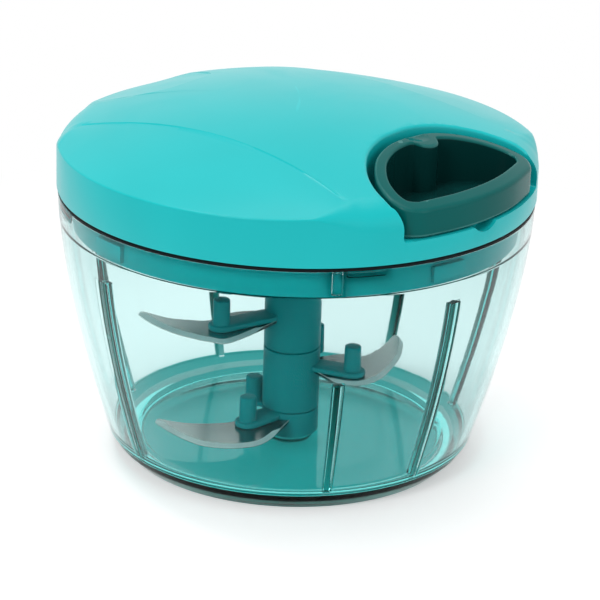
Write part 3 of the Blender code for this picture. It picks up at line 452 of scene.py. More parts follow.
def round_tree() -> ShapeTree:
    """A tree that repeats one piece at even turns about Z, such as screws, lugs or teeth."""
    shape = ShapeTree("repeat_round", {"Count": "NodeSocketInt", "Start": "NodeSocketFloat",
                                       "Spread": "NodeSocketFloat"})
    given = shape.given
    points = shape.put("GeometryNodePoints", {"Count": given["Count"]}).outputs[0]
    index = shape.put("GeometryNodeInputIndex").outputs[0]
    turn = shape.math("ADD", given["Start"], shape.math("MULTIPLY", index, given["Spread"]))
    euler = shape.put("ShaderNodeCombineXYZ", {"Z": turn}).outputs[0]
    rotation = shape.put("FunctionNodeEulerToRotation", {"Euler": euler}).outputs[0]
    copies = shape.put("GeometryNodeInstanceOnPoints",
                       {"Points": points, "Instance": given["Geometry"], "Rotation": rotation})
    shape.end(copies.outputs[0])
    return shape


def rope_tree() -> ShapeTree:
    """A tree that lays a twisted cord of round strands along a line of points."""
    shape = ShapeTree("laid_cord", {"Radius": "NodeSocketFloat", "Strands": "NodeSocketInt",
                                    "Turns per Metre": "NodeSocketFloat", "Spacing": "NodeSocketFloat"})
    given = shape.given
    curve = shape.put("GeometryNodeMeshToCurve", {"Mesh": given["Geometry"]}).outputs[0]
    even = shape.put("GeometryNodeResampleCurve", {"Curve": curve, "Length": given["Spacing"]}, mode="LENGTH")
    length = shape.put("GeometryNodeSplineParameter").outputs["Length"]
    twist = shape.math("MULTIPLY", shape.math("MULTIPLY", length, given["Turns per Metre"]), 2 * math.pi)
    tilted = shape.put("GeometryNodeSetCurveTilt", {"Curve": even.outputs[0], "Tilt": twist})
    ring = shape.put("GeometryNodeCurvePrimitiveCircle", {"Resolution": 18, "Radius": 1.0}).outputs[0]
    factor = shape.put("GeometryNodeSplineParameter").outputs["Index"]
    phase = shape.math("MULTIPLY", shape.math("MULTIPLY", factor, given["Strands"]), 2 * math.pi / 18)
    lobe = shape.math("ADD", shape.math("MULTIPLY", shape.math("COSINE", phase), 0.11), 0.89)
    reach = shape.math("MULTIPLY", lobe, given["Radius"])
    scaled = shape.put("ShaderNodeVectorMath", {0: shape.put("GeometryNodeInputPosition").outputs[0]},
                       operation="SCALE")
    shape.tree.links.new(reach, scaled.inputs["Scale"])
    section = shape.put("GeometryNodeSetPosition", {"Geometry": ring, "Position": scaled.outputs[0]})
    tube = shape.put("GeometryNodeCurveToMesh", {"Curve": tilted.outputs[0], "Profile Curve": section.outputs[0],
                                                 "Fill Caps": True})
    shape.end(tube.outputs[0])
    return shape


TURNED = turned_tree()
ROUND = round_tree()
ROPE = rope_tree()


def line_mesh(name: str, points: Sequence[Point]) -> bpy.types.Mesh:
    """A mesh that is one open line through the points."""
    mesh = bpy.data.meshes.new(name)
    mesh.from_pydata(list(points), [(i, i + 1) for i in range(len(points) - 1)], [])
    return mesh


def turn(name: str, profile: Profile, material: bpy.types.Material, segments: int = 96,
         sharp_angle: float = 35.0) -> bpy.types.Object:
    """Turn a profile that runs up the outer side of a round piece.

    Args:
        name: The new object's name.
        profile: (radius, height) points, from the foot up the outside and down the inside.
        material: The piece's material.
        segments: How many steps one turn has.
        sharp_angle: Edges past this angle in degrees stay sharp.

    Returns:
        The new object.
    """
    line = line_mesh(name, [(max(r, 0.0), 0.0, z) for r, z in profile])
    item = TURNED.grow(name, line, material, Segments=segments)
    weld(item)
    return smooth(item, sharp_angle)


def pin(name: str, radius: float, bottom: float, top: float, at: Plan = (0.0, 0.0), edge: float = 0.0,
        segments: int = 32, sides_to: float = 1.0) -> bpy.types.Object:
    """A round post or cutter at a plan point.

    Args:
        name: The new object's name.
        radius: Its radius at the foot.
        bottom: The height of its foot.
        top: The height of its end.
        at: Where it stands.
        edge: The rounding of its ends.
        segments: How many sides it has.
        sides_to: Its radius at the end, as a share of the foot's.

    Returns:
        The new object.
    """
    profile = fillet([(0.0, bottom), (radius, bottom), (radius * sides_to, top), (0.0, top)], edge, steps=5)
    rows = []
    for r, z in profile:
        rows.append([(at[0] + x, at[1] + y, z) for x, y in arc(r, 0.0, 360.0 * (segments - 1) / segments, segments)])
    return loft(name, rows)


def lie_out(item: bpy.types.Object, out: float, across: float, level: float) -> bpy.types.Object:
    """Lay a solid made along Z so that it points out along the pull, in its mesh."""
    turn_plan = Matrix.Rotation(math.radians(HANDLE_AZIMUTH), 4, "Z")
    lay = Matrix.Rotation(math.radians(90.0), 4, "Y")
    item.data.transform(turn_plan @ Matrix.Translation((out, across, level)) @ lay)
    return item


class Effect:
    """Shader node groups that several finishes share, each built once."""

    _made: dict[str, bpy.types.NodeTree] = {}

    @classmethod
    def group(cls, name: str, sockets: dict[str, float], outputs: Sequence[str],
              build: Callable[[Tree, bpy.types.NodeInputs, dict], None]) -> bpy.types.NodeTree:
        """Make a shader node group the first time that it is asked for.

        Args:
            name: The group's name.
            sockets: Its named inputs with their usual values.
            outputs: The names of its outputs.
            build: Fills the tree from its inputs and joins its outputs.

        Returns:
            The node group.
        """
        if name not in cls._made:
            tree = bpy.data.node_groups.new(name, "ShaderNodeTree")
            for label, value in sockets.items():
                socket = tree.interface.new_socket(name=label, in_out="INPUT", socket_type="NodeSocketFloat")
                socket.default_value = value
            for label in outputs:
                tree.interface.new_socket(name=label, in_out="OUTPUT", socket_type="NodeSocketFloat")
            shape = Tree(tree)
            given = tree.nodes.new("NodeGroupInput").outputs
            result = tree.nodes.new("NodeGroupOutput").inputs
            build(shape, given, result)
            cls._made[name] = tree
        return cls._made[name]

    @classmethod
    def moulded_grain(cls) -> bpy.types.NodeTree:
        """The faint spark-eroded grain and flow marks of a moulded plastic surface."""

        def build(shape: Tree, given: bpy.types.NodeOutputs, result: bpy.types.NodeInputs) -> None:
            """Mix a fine grain with a broad ripple."""
            place_on = shape.put("ShaderNodeTexCoord").outputs["Object"]
            grain = shape.put("ShaderNodeTexNoise", {"Vector": place_on, "Scale": given["Scale"], "Detail": 3.0,
                                                     "Roughness": 0.6})
            ripple = shape.put("ShaderNodeTexNoise", {"Vector": place_on, "Scale": 28.0, "Detail": 1.0,
                                                      "Roughness": 0.4, "Distortion": 0.6})
            fine = shape.math("MULTIPLY", grain.outputs["Fac"], given["Grain"])
            broad = shape.math("MULTIPLY", ripple.outputs["Fac"], given["Ripple"])
            shape.tree.links.new(shape.math("ADD", fine, broad), result["Height"])
            shape.tree.links.new(ripple.outputs["Fac"], result["Flow"])

        return cls.group("moulded_grain", {"Scale": 5200.0, "Grain": 0.5, "Ripple": 0.5}, ("Height", "Flow"), build)

    @classmethod
    def handling_marks(cls) -> bpy.types.NodeTree:
        """Where hands have left soft smears and a few hairline scratches."""

        def build(shape: Tree, given: bpy.types.NodeOutputs, result: bpy.types.NodeInputs) -> None:
            """Mask smears from broad noise and scratches from stretched cells."""
            place_on = shape.put("ShaderNodeTexCoord").outputs["Object"]
            smear = shape.put("ShaderNodeTexNoise", {"Vector": place_on, "Scale": given["Smear Scale"], "Detail": 4.0,
                                                     "Roughness": 0.55, "Distortion": 1.4})
            clear = shape.put("ShaderNodeMapRange", {"Value": smear.outputs["Fac"], "From Min": 0.48,
                                                     "From Max": 0.72, "To Min": 0.0, "To Max": 1.0})
            stretched = shape.put("ShaderNodeMapping", {"Vector": place_on, "Rotation": (0.4, 0.2, 0.9),
                                                        "Scale": (60.0, 900.0, 400.0)})
            cells = shape.put("ShaderNodeTexVoronoi", {"Vector": stretched.outputs[0], "Scale": 1.0},
                              feature="DISTANCE_TO_EDGE")
            line = shape.put("ShaderNodeMapRange", {"Value": cells.outputs["Distance"], "From Min": 0.0,
                                                    "From Max": 0.02, "To Min": 1.0, "To Max": 0.0})
            rare = shape.put("ShaderNodeTexNoise", {"Vector": place_on, "Scale": 45.0, "Detail": 0.0})
            some = shape.put("ShaderNodeMapRange", {"Value": rare.outputs["Fac"], "From Min": 0.6,
                                                    "From Max": 0.7, "To Min": 0.0, "To Max": 1.0})
            shape.tree.links.new(clear.outputs[0], result["Smear"])
            shape.tree.links.new(shape.math("MULTIPLY", line.outputs[0], some.outputs[0]), result["Scratch"])

        return cls.group("handling_marks", {"Smear Scale": 38.0}, ("Smear", "Scratch"), build)

    @classmethod
    def edge_wear_and_painted_light(cls) -> bpy.types.NodeTree:
        """A mask of the corners that stand proud: plastics are rubbed paler there as wear, the handle takes a painted
        highlight there, and the cord is painted grey in the hollows outside it.
        """

        def build(shape: Tree, given: bpy.types.NodeOutputs, result: bpy.types.NodeInputs) -> None:
            """Break up pointed corners with noise."""
            proud = shape.put("ShaderNodeNewGeometry").outputs["Pointiness"]
            sharp = shape.put("ShaderNodeMapRange", {"Value": proud, "From Min": given["From"],
                                                     "From Max": given["To"], "To Min": 0.0, "To Max": 1.0})
            place_on = shape.put("ShaderNodeTexCoord").outputs["Object"]
            patchy = shape.put("ShaderNodeTexNoise", {"Vector": place_on, "Scale": 160.0, "Detail": 2.0})
            shape.tree.links.new(shape.math("MULTIPLY", sharp.outputs[0], patchy.outputs["Fac"]), result["Mask"])

        return cls.group("edge_wear_and_painted_light", {"From": 0.53, "To": 0.62}, ("Mask",), build)


@dataclass(frozen=True)
class Plastic:
    """An opaque moulded plastic."""

    name: str
    colour: Colour
    roughness: float
    specular: float = 0.35
    coat: float = 0.0
    grain_scale: float = 5200.0
    grain_depth: float = 0.000004
    variation: float = 0.06
    edge_from: float = 0.53
    edge_to: float = 0.62
    edge_share: float = 0.5
    edge_colour: Colour | None = None

    def build(self) -> bpy.types.Material:
        """Make the material: colour drift, smears, scratches, paler proud edges and grain; the paler edges are wear,
        and with a given edge colour they are a painted highlight.
        """
        made = bpy.data.materials.new(self.name)
        made.use_nodes = True
        shape = Tree(made.node_tree)
        shader = made.node_tree.nodes["Principled BSDF"]
        grain = shape.put("ShaderNodeGroup", node_tree=Effect.moulded_grain())
        grain.inputs["Scale"].default_value = self.grain_scale
        marks = shape.put("ShaderNodeGroup", node_tree=Effect.handling_marks())
        edges = shape.put("ShaderNodeGroup", node_tree=Effect.edge_wear_and_painted_light())
        edges.inputs["From"].default_value = self.edge_from
        edges.inputs["To"].default_value = self.edge_to
        deep = tuple(channel * (1.0 - self.variation) for channel in self.colour)
        pale = tuple(min(channel * (1.0 + self.variation) + 0.002, 1.0) for channel in self.colour)
        # Paler edge tone: wear by default; the handle's given edge colour is a painted highlight on its fillets.
        rubbed_and_highlit = self.edge_colour or tuple(min(channel * 1.25 + 0.015, 1.0) for channel in self.colour)
        drift = shape.put("ShaderNodeMix", {0: grain.outputs["Flow"], 6: (*deep, 1.0), 7: (*pale, 1.0)},
                          data_type="RGBA")
        worn_and_highlit = shape.put("ShaderNodeMix", {0: shape.math("MULTIPLY", edges.outputs["Mask"], self.edge_share),
                                           6: drift.outputs[2], 7: (*rubbed_and_highlit, 1.0)}, data_type="RGBA")
        rough = shape.math("ADD", self.roughness, shape.math("MULTIPLY", marks.outputs["Smear"], 0.05))
        rough = shape.math("ADD", rough, shape.math("MULTIPLY", marks.outputs["Scratch"], 0.02))
        bump = shape.put("ShaderNodeBump", {"Strength": 0.6, "Distance": self.grain_depth,
                                            "Height": grain.outputs["Height"]})
        shape.tree.links.new(worn_and_highlit.outputs[2], shader.inputs["Base Color"])
        shape.tree.links.new(rough, shader.inputs["Roughness"])
        shape.tree.links.new(bump.outputs[0], shader.inputs["Normal"])
        shader.inputs["Specular IOR Level"].default_value = self.specular
        shader.inputs["Coat Weight"].default_value = self.coat
        shader.inputs["Coat Roughness"].default_value = 0.12
        return made


@dataclass(frozen=True)
class ClearPlastic:
    """A clear tinted plastic that takes its depth of colour from its thickness."""

    name: str
    surface: Colour
    tint: Colour
    density: float
    roughness: float = 0.015
    glare: float = 0.04
    index: float = 1.49
    shadow: Colour = (0.95, 0.975, 0.975)

    def build(self) -> bpy.types.Material:
        """Make the material: glass with fine scratches, a tinted volume and a soft shadow."""
        made = bpy.data.materials.new(self.name)
        made.use_nodes = True
        shape = Tree(made.node_tree)
        shader = made.node_tree.nodes["Principled BSDF"]
        output = made.node_tree.nodes["Material Output"]
        marks = shape.put("ShaderNodeGroup", node_tree=Effect.handling_marks())
        marks.inputs["Smear Scale"].default_value = 24.0
        grain = shape.put("ShaderNodeGroup", node_tree=Effect.moulded_grain())
        grain.inputs["Scale"].default_value = 900.0
        grain.inputs["Grain"].default_value = 0.05
        rough = shape.math("ADD", self.roughness, shape.math("MULTIPLY", marks.outputs["Smear"], 0.02))
        rough = shape.math("ADD", rough, shape.math("MULTIPLY", marks.outputs["Scratch"], 0.10))
        bump = shape.put("ShaderNodeBump", {"Strength": 0.25, "Distance": 0.00001,
                                            "Height": grain.outputs["Height"]})
        shader.inputs["Base Color"].default_value = (*self.surface, 1.0)
        shader.inputs["Transmission Weight"].default_value = 1.0
        shader.inputs["IOR"].default_value = self.index
        shader.inputs["Specular Tint"].default_value = (self.glare, self.glare, self.glare, 1.0)
        shape.tree.links.new(rough, shader.inputs["Roughness"])
        shape.tree.links.new(bump.outputs[0], shader.inputs["Normal"])
        clear = shape.put("ShaderNodeBsdfTransparent", {"Color": (*self.shadow, 1.0)})
        shaded = shape.put("ShaderNodeLightPath").outputs["Is Shadow Ray"]
        both = shape.put("ShaderNodeMixShader", {0: shaded, 1: shader.outputs[0], 2: clear.outputs[0]})
        shape.tree.links.new(both.outputs[0], output.inputs["Surface"])
        if self.density > 0.0:
            volume = shape.put("ShaderNodeVolumeAbsorption", {"Color": (*self.tint, 1.0), "Density": self.density})
            shape.tree.links.new(volume.outputs[0], output.inputs["Volume"])
        return made


@dataclass(frozen=True)
class Steel:
    """Stainless steel with rolling or grinding lines."""

    name: str
    colour: Colour
    roughness: float
    lines: Point = (60.0, 2400.0, 60.0)
    turned: float = 0.0
    depth: float = 0.000002
    # root and reach set painted shade: the colour's share near the axis and the radii over which it lightens to full.
    root: float = 1.0
    reach: Plan = (0.012, 0.036)
    metallic: float = 1.0

    def build(self) -> bpy.types.Material:
        """Make the material: stretched noise for the lines, smears, and painted shade that darkens the colour towards
        the axis.
        """
        made = bpy.data.materials.new(self.name)
        made.use_nodes = True
        shape = Tree(made.node_tree)
        shader = made.node_tree.nodes["Principled BSDF"]
        place_on = shape.put("ShaderNodeTexCoord").outputs["Object"]
        laid = shape.put("ShaderNodeMapping", {"Vector": place_on, "Rotation": (0.0, 0.0, self.turned),
                                               "Scale": self.lines})
        brushed = shape.put("ShaderNodeTexNoise", {"Vector": laid.outputs[0], "Scale": 1.0, "Detail": 4.0,
                                                   "Roughness": 0.65})
        marks = shape.put("ShaderNodeGroup", node_tree=Effect.handling_marks())
        rough = shape.math("ADD", self.roughness, shape.math("MULTIPLY", brushed.outputs["Fac"], 0.10))
        rough = shape.math("ADD", rough, shape.math("MULTIPLY", marks.outputs["Smear"], 0.06))
        dark = tuple(channel * 0.88 for channel in self.colour)
        drift = shape.put("ShaderNodeMix", {0: brushed.outputs["Fac"], 6: (*dark, 1.0), 7: (*self.colour, 1.0)},
                          data_type="RGBA")
        bump = shape.put("ShaderNodeBump", {"Strength": 0.5, "Distance": self.depth,
                                            "Height": brushed.outputs["Fac"]})
        # Painted shade: towards the axis the colour darkens to the root share, where the column shades the blade.
        plan = shape.put("ShaderNodeVectorMath", {0: place_on, 1: (1.0, 1.0, 0.0)}, operation="MULTIPLY")
        out = shape.put("ShaderNodeVectorMath", {0: plan.outputs[0]}, operation="LENGTH").outputs["Value"]
        near = tuple(channel * self.root for channel in self.colour)
        outwards = shape.put("ShaderNodeMapRange", {"Value": out, "From Min": self.reach[0],
                                                    "From Max": self.reach[1], "To Min": 0.0, "To Max": 1.0})
        root_shaded = shape.put("ShaderNodeMix", {0: outwards.outputs[0], 6: (*near, 1.0), 7: drift.outputs[2]},
                           data_type="RGBA")
        shader.inputs["Metallic"].default_value = self.metallic
        shape.tree.links.new(root_shaded.outputs[2], shader.inputs["Base Color"])
        shape.tree.links.new(rough, shader.inputs["Roughness"])
        shape.tree.links.new(bump.outputs[0], shader.inputs["Normal"])
        return made


@dataclass(frozen=True)
class Fibre:
    """A laid cord of fine synthetic yarn."""

    name: str
    colour: Colour

    def build(self) -> bpy.types.Material:
        """Make the material: fine yarn lines, grey in the hollows as painted shade, with a little sheen."""
        made = bpy.data.materials.new(self.name)
        made.use_nodes = True
        shape = Tree(made.node_tree)
        shader = made.node_tree.nodes["Principled BSDF"]
        place_on = shape.put("ShaderNodeTexCoord").outputs["Object"]
        yarn = shape.put("ShaderNodeTexNoise", {"Vector": place_on, "Scale": 6500.0, "Detail": 2.0})
        # Painted shade: the cord turns grey where it lies in the hollows between strands.
        edges = shape.put("ShaderNodeGroup", node_tree=Effect.edge_wear_and_painted_light())
        edges.inputs["From"].default_value = 0.44
        edges.inputs["To"].default_value = 0.54
        hollow_shade = tuple(channel * 0.72 for channel in self.colour)
        mixed = shape.put("ShaderNodeMix", {0: edges.outputs["Mask"], 6: (*hollow_shade, 1.0), 7: (*self.colour, 1.0)},
                          data_type="RGBA")
        bump = shape.put("ShaderNodeBump", {"Strength": 0.7, "Distance": 0.00004, "Height": yarn.outputs["Fac"]})
        shape.tree.links.new(mixed.outputs[2], shader.inputs["Base Color"])
        shape.tree.links.new(bump.outputs[0], shader.inputs["Normal"])
        shader.inputs["Roughness"].default_value = 0.8
        shader.inputs["Sheen Weight"].default_value = 0.25
        return made


@dataclass
class Finishes:
    """Every finish of the chopper."""

    lid: bpy.types.Material = field(init=False)
    base: bpy.types.Material = field(init=False)
    column: bpy.types.Material = field(init=False)
    handle: bpy.types.Material = field(init=False)
    handle_inner_shade: bpy.types.Material = field(init=False)
    seal: bpy.types.Material = field(init=False)
    bowl: bpy.types.Material = field(init=False)
    painted_edge_line: bpy.types.Material = field(init=False)
    rib_core: bpy.types.Material = field(init=False)
    ledge_edge: bpy.types.Material = field(init=False)
    floor: bpy.types.Material = field(init=False)
    foot: bpy.types.Material = field(init=False)
    blade: bpy.types.Material = field(init=False)
    bevel: bpy.types.Material = field(init=False)
    screw: bpy.types.Material = field(init=False)
    spring: bpy.types.Material = field(init=False)
    acetal: bpy.types.Material = field(init=False)
    cord: bpy.types.Material = field(init=False)

    def __post_init__(self) -> None:
        """Build each material once."""
        self.lid = Plastic("lid_turquoise", (0.006, 0.53, 0.55), 0.29, specular=0.20).build()
        self.base = Plastic("base_teal", (0.003, 0.43, 0.45), 0.34, specular=0.08).build()
        self.column = Plastic("column_teal", (0.001, 0.28, 0.30), 0.34, specular=0.06).build()
        # Painted highlight: the pale edge colour on the handle's rounded edges stands in for the lamps' highlights.
        self.handle = Plastic("handle_dark_green", (0.001, 0.120, 0.112), 0.14, specular=0.08,
                              grain_depth=0.000001, edge_from=0.518, edge_to=0.535, edge_share=0.7,
                              edge_colour=(0.13, 0.38, 0.36)).build()
        # Painted shade: a darker copy of the handle's plastic for the walls inside the opening and the web, where
        # shade falls.
        self.handle_inner_shade = Plastic("handle_inner_painted_shade", (0.001, 0.040, 0.038), 0.18, specular=0.10,
                                     grain_depth=0.000001).build()
        self.seal = Plastic("seal_rubber", (0.001, 0.004, 0.005), 0.55, specular=0.10,
                            grain_scale=2600.0).build()
        self.bowl = ClearPlastic("bowl_clear_teal", (0.86, 0.90, 0.90), (0.0, 0.72, 0.70), 78.0).build()
        # Painted shade: a deep teal copy of the bowl's plastic that draws dark lines on the rib flanks, the step and
        # the rim band's foot.
        self.painted_edge_line = ClearPlastic("rib_edge_painted_line", (0.14, 0.68, 0.68), (0.0, 0.72, 0.70), 78.0,
                                     roughness=0.08, glare=0.0, index=1.30).build()
        self.rib_core = ClearPlastic("rib_core_teal", (0.70, 0.92, 0.92), (0.0, 0.72, 0.70), 78.0).build()
        self.ledge_edge = ClearPlastic("ledge_edge_teal", (0.55, 0.86, 0.86), (0.0, 0.72, 0.70), 78.0,
                                       roughness=0.10, glare=0.0, index=1.15).build()
        self.floor = ClearPlastic("floor_teal", (0.003, 0.95, 0.93), (0.0, 0.72, 0.70), 78.0,
                                  roughness=0.10).build()
        # Partly painted shade: the foot ring's inner wall is tinted deep teal to darken the view through the front of
        # the foot.
        self.foot = ClearPlastic("foot_deep_teal_and_shade", (0.03, 0.52, 0.50), (0.0, 0.72, 0.70), 78.0,
                                 roughness=0.05).build()
        self.ring = ClearPlastic("ring_pale_teal", (0.24, 0.88, 0.86), (0.0, 0.72, 0.70), 78.0,
                                 roughness=0.05, glare=0.0, index=1.30).build()
        # Painted shade: the blade's colour falls to 0.30 near the column.
        self.blade = Steel("blade_steel", (0.55, 0.55, 0.54), 0.15, root=0.30).build()
        self.bevel = Steel("ground_bevel", (0.85, 0.86, 0.85), 0.45, lines=(1800.0, 300.0, 300.0),
                           metallic=0.30).build()
        self.screw = Steel("screw_steel", (0.55, 0.56, 0.56), 0.25, lines=(900.0, 900.0, 60.0)).build()
        self.spring = Steel("spring_steel", (0.40, 0.42, 0.45), 0.22, lines=(80.0, 80.0, 2600.0)).build()
        self.acetal = Plastic("white_acetal", (0.78, 0.78, 0.75), 0.38, specular=0.45, variation=0.03).build()
        self.cord = Fibre("white_cord", (0.80, 0.80, 0.77)).build()


@dataclass(frozen=True)
class WallFeature:
    """Something raised on the bowl's inner wall: a rib, a bayonet ledge or its stop."""

    azimuth: float
    half_width: float
    bottom: float
    top: float
    depth: float
    taper: float = 1.0
    softness: float = 1.0

    ramp = ((-0.00035, 0.0), (-0.00010, 0.08), (0.0, 0.30), (0.00006, 0.78), (0.00018, 0.94), (0.00045, 1.0))

    def rise(self, inside: float) -> float:
        """How much of the depth is reached, at a distance inside the feature's edge."""
        inside /= self.softness
        before = self.ramp[0]
        if inside <= before[0]:
            return 0.0
        for after in self.ramp[1:]:
            if inside <= after[0]:
                share = (inside - before[0]) / (after[0] - before[0])
                return before[1] + (after[1] - before[1]) * share
            before = after
        return 1.0

    def azimuths(self, radius: float) -> list[float]:
        """The azimuths where the wall needs a column of points."""
        edges = [math.degrees(inside * self.softness / radius) for inside, _share in self.ramp]
        lower = [self.azimuth - self.half_width + edge for edge in edges]
        upper = [self.azimuth + self.half_width - edge for edge in edges]
        return lower + upper

    def heights(self) -> list[float]:
        """The heights where the wall needs a row of points."""
        edges = [inside * self.softness for inside, _share in self.ramp]
        return [self.bottom + edge for edge in edges] + [self.top - edge for edge in edges]

    def depth_at(self, azimuth: float, height: float, radius: float) -> float:
        """How far the feature stands in from the wall at one place."""
        away = abs((azimuth - self.azimuth + 180.0) % 360.0 - 180.0)
        side = self.rise(math.radians(self.half_width - away) * radius)
        end = min(self.rise(height - self.bottom), self.rise(self.top - height))
        share = (height - self.bottom) / (self.top - self.bottom)
        return self.depth * min(side, end) * (self.taper + (1.0 - self.taper) * min(max(share, 0.0), 1.0))


class Tint(Enum):
    """The bowl's materials, by the number of their slot."""

    WALL = 0
    FLOOR = 1
    FOOT_TINT_AND_SHADE = 2
    PAINTED_EDGE_LINE = 3
    RIB_CORE = 4
    LEDGE_EDGE = 5
    RING = 6


@dataclass
class Bowl:
    """The clear bowl: wall, foot, floor, ribs and bayonet ledges in one moulding."""

    finishes: Finishes
    belly_power: float = 1.6
    step_radius: float = 0.0478
    step_height: float = 0.0056
    step_lip: float = 0.0006
    foot_radius: float = 0.0440
    foot_width: float = 0.0030
    floor_top: float = 0.0030
    floor_bottom: float = 0.0012
    well_radius: float = 0.0395
    well_depth: float = 0.0014
    well_ledge: float = 0.0040
    pin_boss: float = 0.0060
    pin_boss_depth: float = 0.0006
    rib_tops: tuple[tuple[float, float], ...] = (
        (-143.0, 0.0565), (-78.0, 0.0385), (-48.0, 0.0570), (15.0, 0.0560), (55.0, 0.0560), (116.0, 0.0560),
        (162.0, 0.0560))
    rib_depth: float = 0.0024
    rib_half_width: float = 1.15
    ledge_count: int = 4
    ledge_turn: float = -73.0
    ledge_half_width: float = 4.75
    ledge_bottom: float = 0.0683
    ledge_top: float = 0.0694
    ledge_depth: float = 0.0016
    stop_turn: float = -7.0
    stop_half_width: float = 1.25
    rib_softness: float = 1.1
    moulded: float = 3.0
    rim_lift: float = 0.0005
    rim_band: float = 0.00018
    rim_band_foot: float = 0.0633
    column_step: float = 2.0

    def outer_radius(self, height: float) -> float:
        """Outer radius of the wall at a height above the step."""
        share = min(max((height - self.step_height) / (RIM_HEIGHT - self.step_height), 0.0), 1.0)
        start = self.step_radius + self.step_lip
        return start + (RIM_RADIUS - start) * (1.0 - (1.0 - share) ** self.belly_power)

    def features(self) -> list[WallFeature]:
        """The ribs, ledges and stops on the inner wall."""
        found = [WallFeature(azimuth, self.rib_half_width, self.floor_top, top, self.rib_depth, 0.8,
                             self.rib_softness)
                 for azimuth, top in self.rib_tops]
        for number in range(self.ledge_count):
            azimuth = self.ledge_turn + 360.0 * number / self.ledge_count
            found.append(WallFeature(azimuth, self.ledge_half_width, self.ledge_bottom, self.ledge_top,
                                     self.ledge_depth, softness=self.moulded))
            found.append(WallFeature(azimuth + self.stop_turn, self.stop_half_width, SKIRT_BOTTOM,
                                     self.ledge_top, self.ledge_depth, softness=self.moulded))
        return found

    def columns(self, features: Sequence[WallFeature]) -> list[float]:
        """Azimuths of the columns: close together at each feature's edges."""
        special = sorted({round(a % 360.0, 4) for item in features for a in item.azimuths(RIM_RADIUS)})
        plain = [self.column_step * i for i in range(int(360.0 / self.column_step))]
        kept = [a for a in plain if min(abs((a - b + 180.0) % 360.0 - 180.0) for b in special) > 0.3]
        return sorted(kept + special)

    def outside(self) -> Profile:
        """The profile under the floor, round the foot and up the outer wall."""
        ring_inside = self.foot_radius - self.foot_width
        foot = fillet([(0.0, self.floor_bottom - self.pin_boss_depth),
                       (self.pin_boss, self.floor_bottom - self.pin_boss_depth),
                       (self.pin_boss, self.floor_bottom), (ring_inside, self.floor_bottom), (ring_inside, 0.0),
                       (self.foot_radius, 0.0), (self.step_radius - 0.0008, self.step_height * 0.55),
                       (self.step_radius, self.step_height - self.step_lip)], 0.0005)
        lip = [(self.step_radius + self.step_lip * 0.6, self.step_height - self.step_lip * 0.9),
               (self.step_radius + self.step_lip * 0.95, self.step_height - self.step_lip * 0.4)]
        count = 40
        wall = [self.step_height + (RIM_HEIGHT - self.step_height) * i / count for i in range(count + 1)]
        return foot + lip + [(self.outer_radius(z), z) for z in wall]

    def inner_heights(self, features: Sequence[WallFeature]) -> list[float]:
        """Heights of the rows down the inner wall, close together at each feature's ends."""
        top, bottom = RIM_HEIGHT - 0.0006, self.step_height + 0.0006
        special = {round(z, 5) for item in features for z in item.heights() if bottom < z < top}
        special |= {round(self.rim_band_foot + step, 5) for step in (-0.0002, -0.00007, 0.00007, 0.0002)}
        plain = [top + (bottom - top) * i / 36 for i in range(37)]
        kept = [z for z in plain if min(abs(z - s) for s in special) > 0.0003 or z in (top, bottom)]
        return sorted(set(kept) | special, reverse=True)

    def floor(self) -> Profile:
        """The profile from the ledge in over the well to the axis."""
        ledge = self.floor_top + self.well_depth
        corner = self.outer_radius(self.step_height) - WALL
        return fillet([(corner, self.step_height + 0.0004), (self.well_radius + self.well_ledge, ledge),
                       (self.well_radius + self.well_depth / 2, ledge), (self.well_radius, self.floor_top),
                       (self.pin_boss, self.floor_top), (0.0, self.floor_top)], 0.0009)

    def tint(self, at: Vector, normal: Vector, features: Sequence[WallFeature]) -> Tint:
        """Choose the tint of one face.

        Args:
            at: The face's centre.
            normal: Its normal.
            features: The raised pieces on the inner wall.

        Returns:
            The tint: deeper under the floor and on raised pieces; the foot ring's inner wall is deep teal, partly as
                painted shade, and the rib flanks, the step and the rim band's foot carry painted dark lines.
        """
        out = math.hypot(at.x, at.y)
        ring_inside = self.foot_radius - self.foot_width
        # The foot ring's inner wall takes the deep teal that is partly painted shade.
        if at.z < self.floor_bottom + 0.0001 and out < ring_inside + 0.0002:
            return Tint.FOOT_TINT_AND_SHADE if out > ring_inside - 0.0006 and abs(normal.z) < 0.7 else Tint.FLOOR
        if out > ring_inside and normal.z < -0.7:
            return Tint.RING
        if at.z < self.step_height - 0.0001 and out > ring_inside and normal.z < 0.3:
            return Tint.RING
        # Painted dark line on the step's sloped faces.
        if at.z < self.step_height + 0.0008:
            return Tint.PAINTED_EDGE_LINE if 0.15 < normal.z < 0.93 else Tint.WALL
        if out > self.outer_radius(at.z) - WALL / 2:
            return Tint.WALL
        # Painted dark line at the rim band's foot.
        if abs(at.z - self.rim_band_foot) < 0.0002:
            return Tint.PAINTED_EDGE_LINE
        azimuth = math.degrees(math.atan2(at.y, at.x))
        for item in features:
            share = item.depth_at(azimuth, at.z, RIM_RADIUS) / item.depth
            if share > 0.03:
                if item.softness > self.rib_softness:
                    return Tint.WALL if share > 0.95 else Tint.LEDGE_EDGE
                # Painted dark lines on the rib flanks.
                return Tint.PAINTED_EDGE_LINE if 0.12 < share < 0.90 * item.taper else Tint.RIB_CORE
        return Tint.WALL

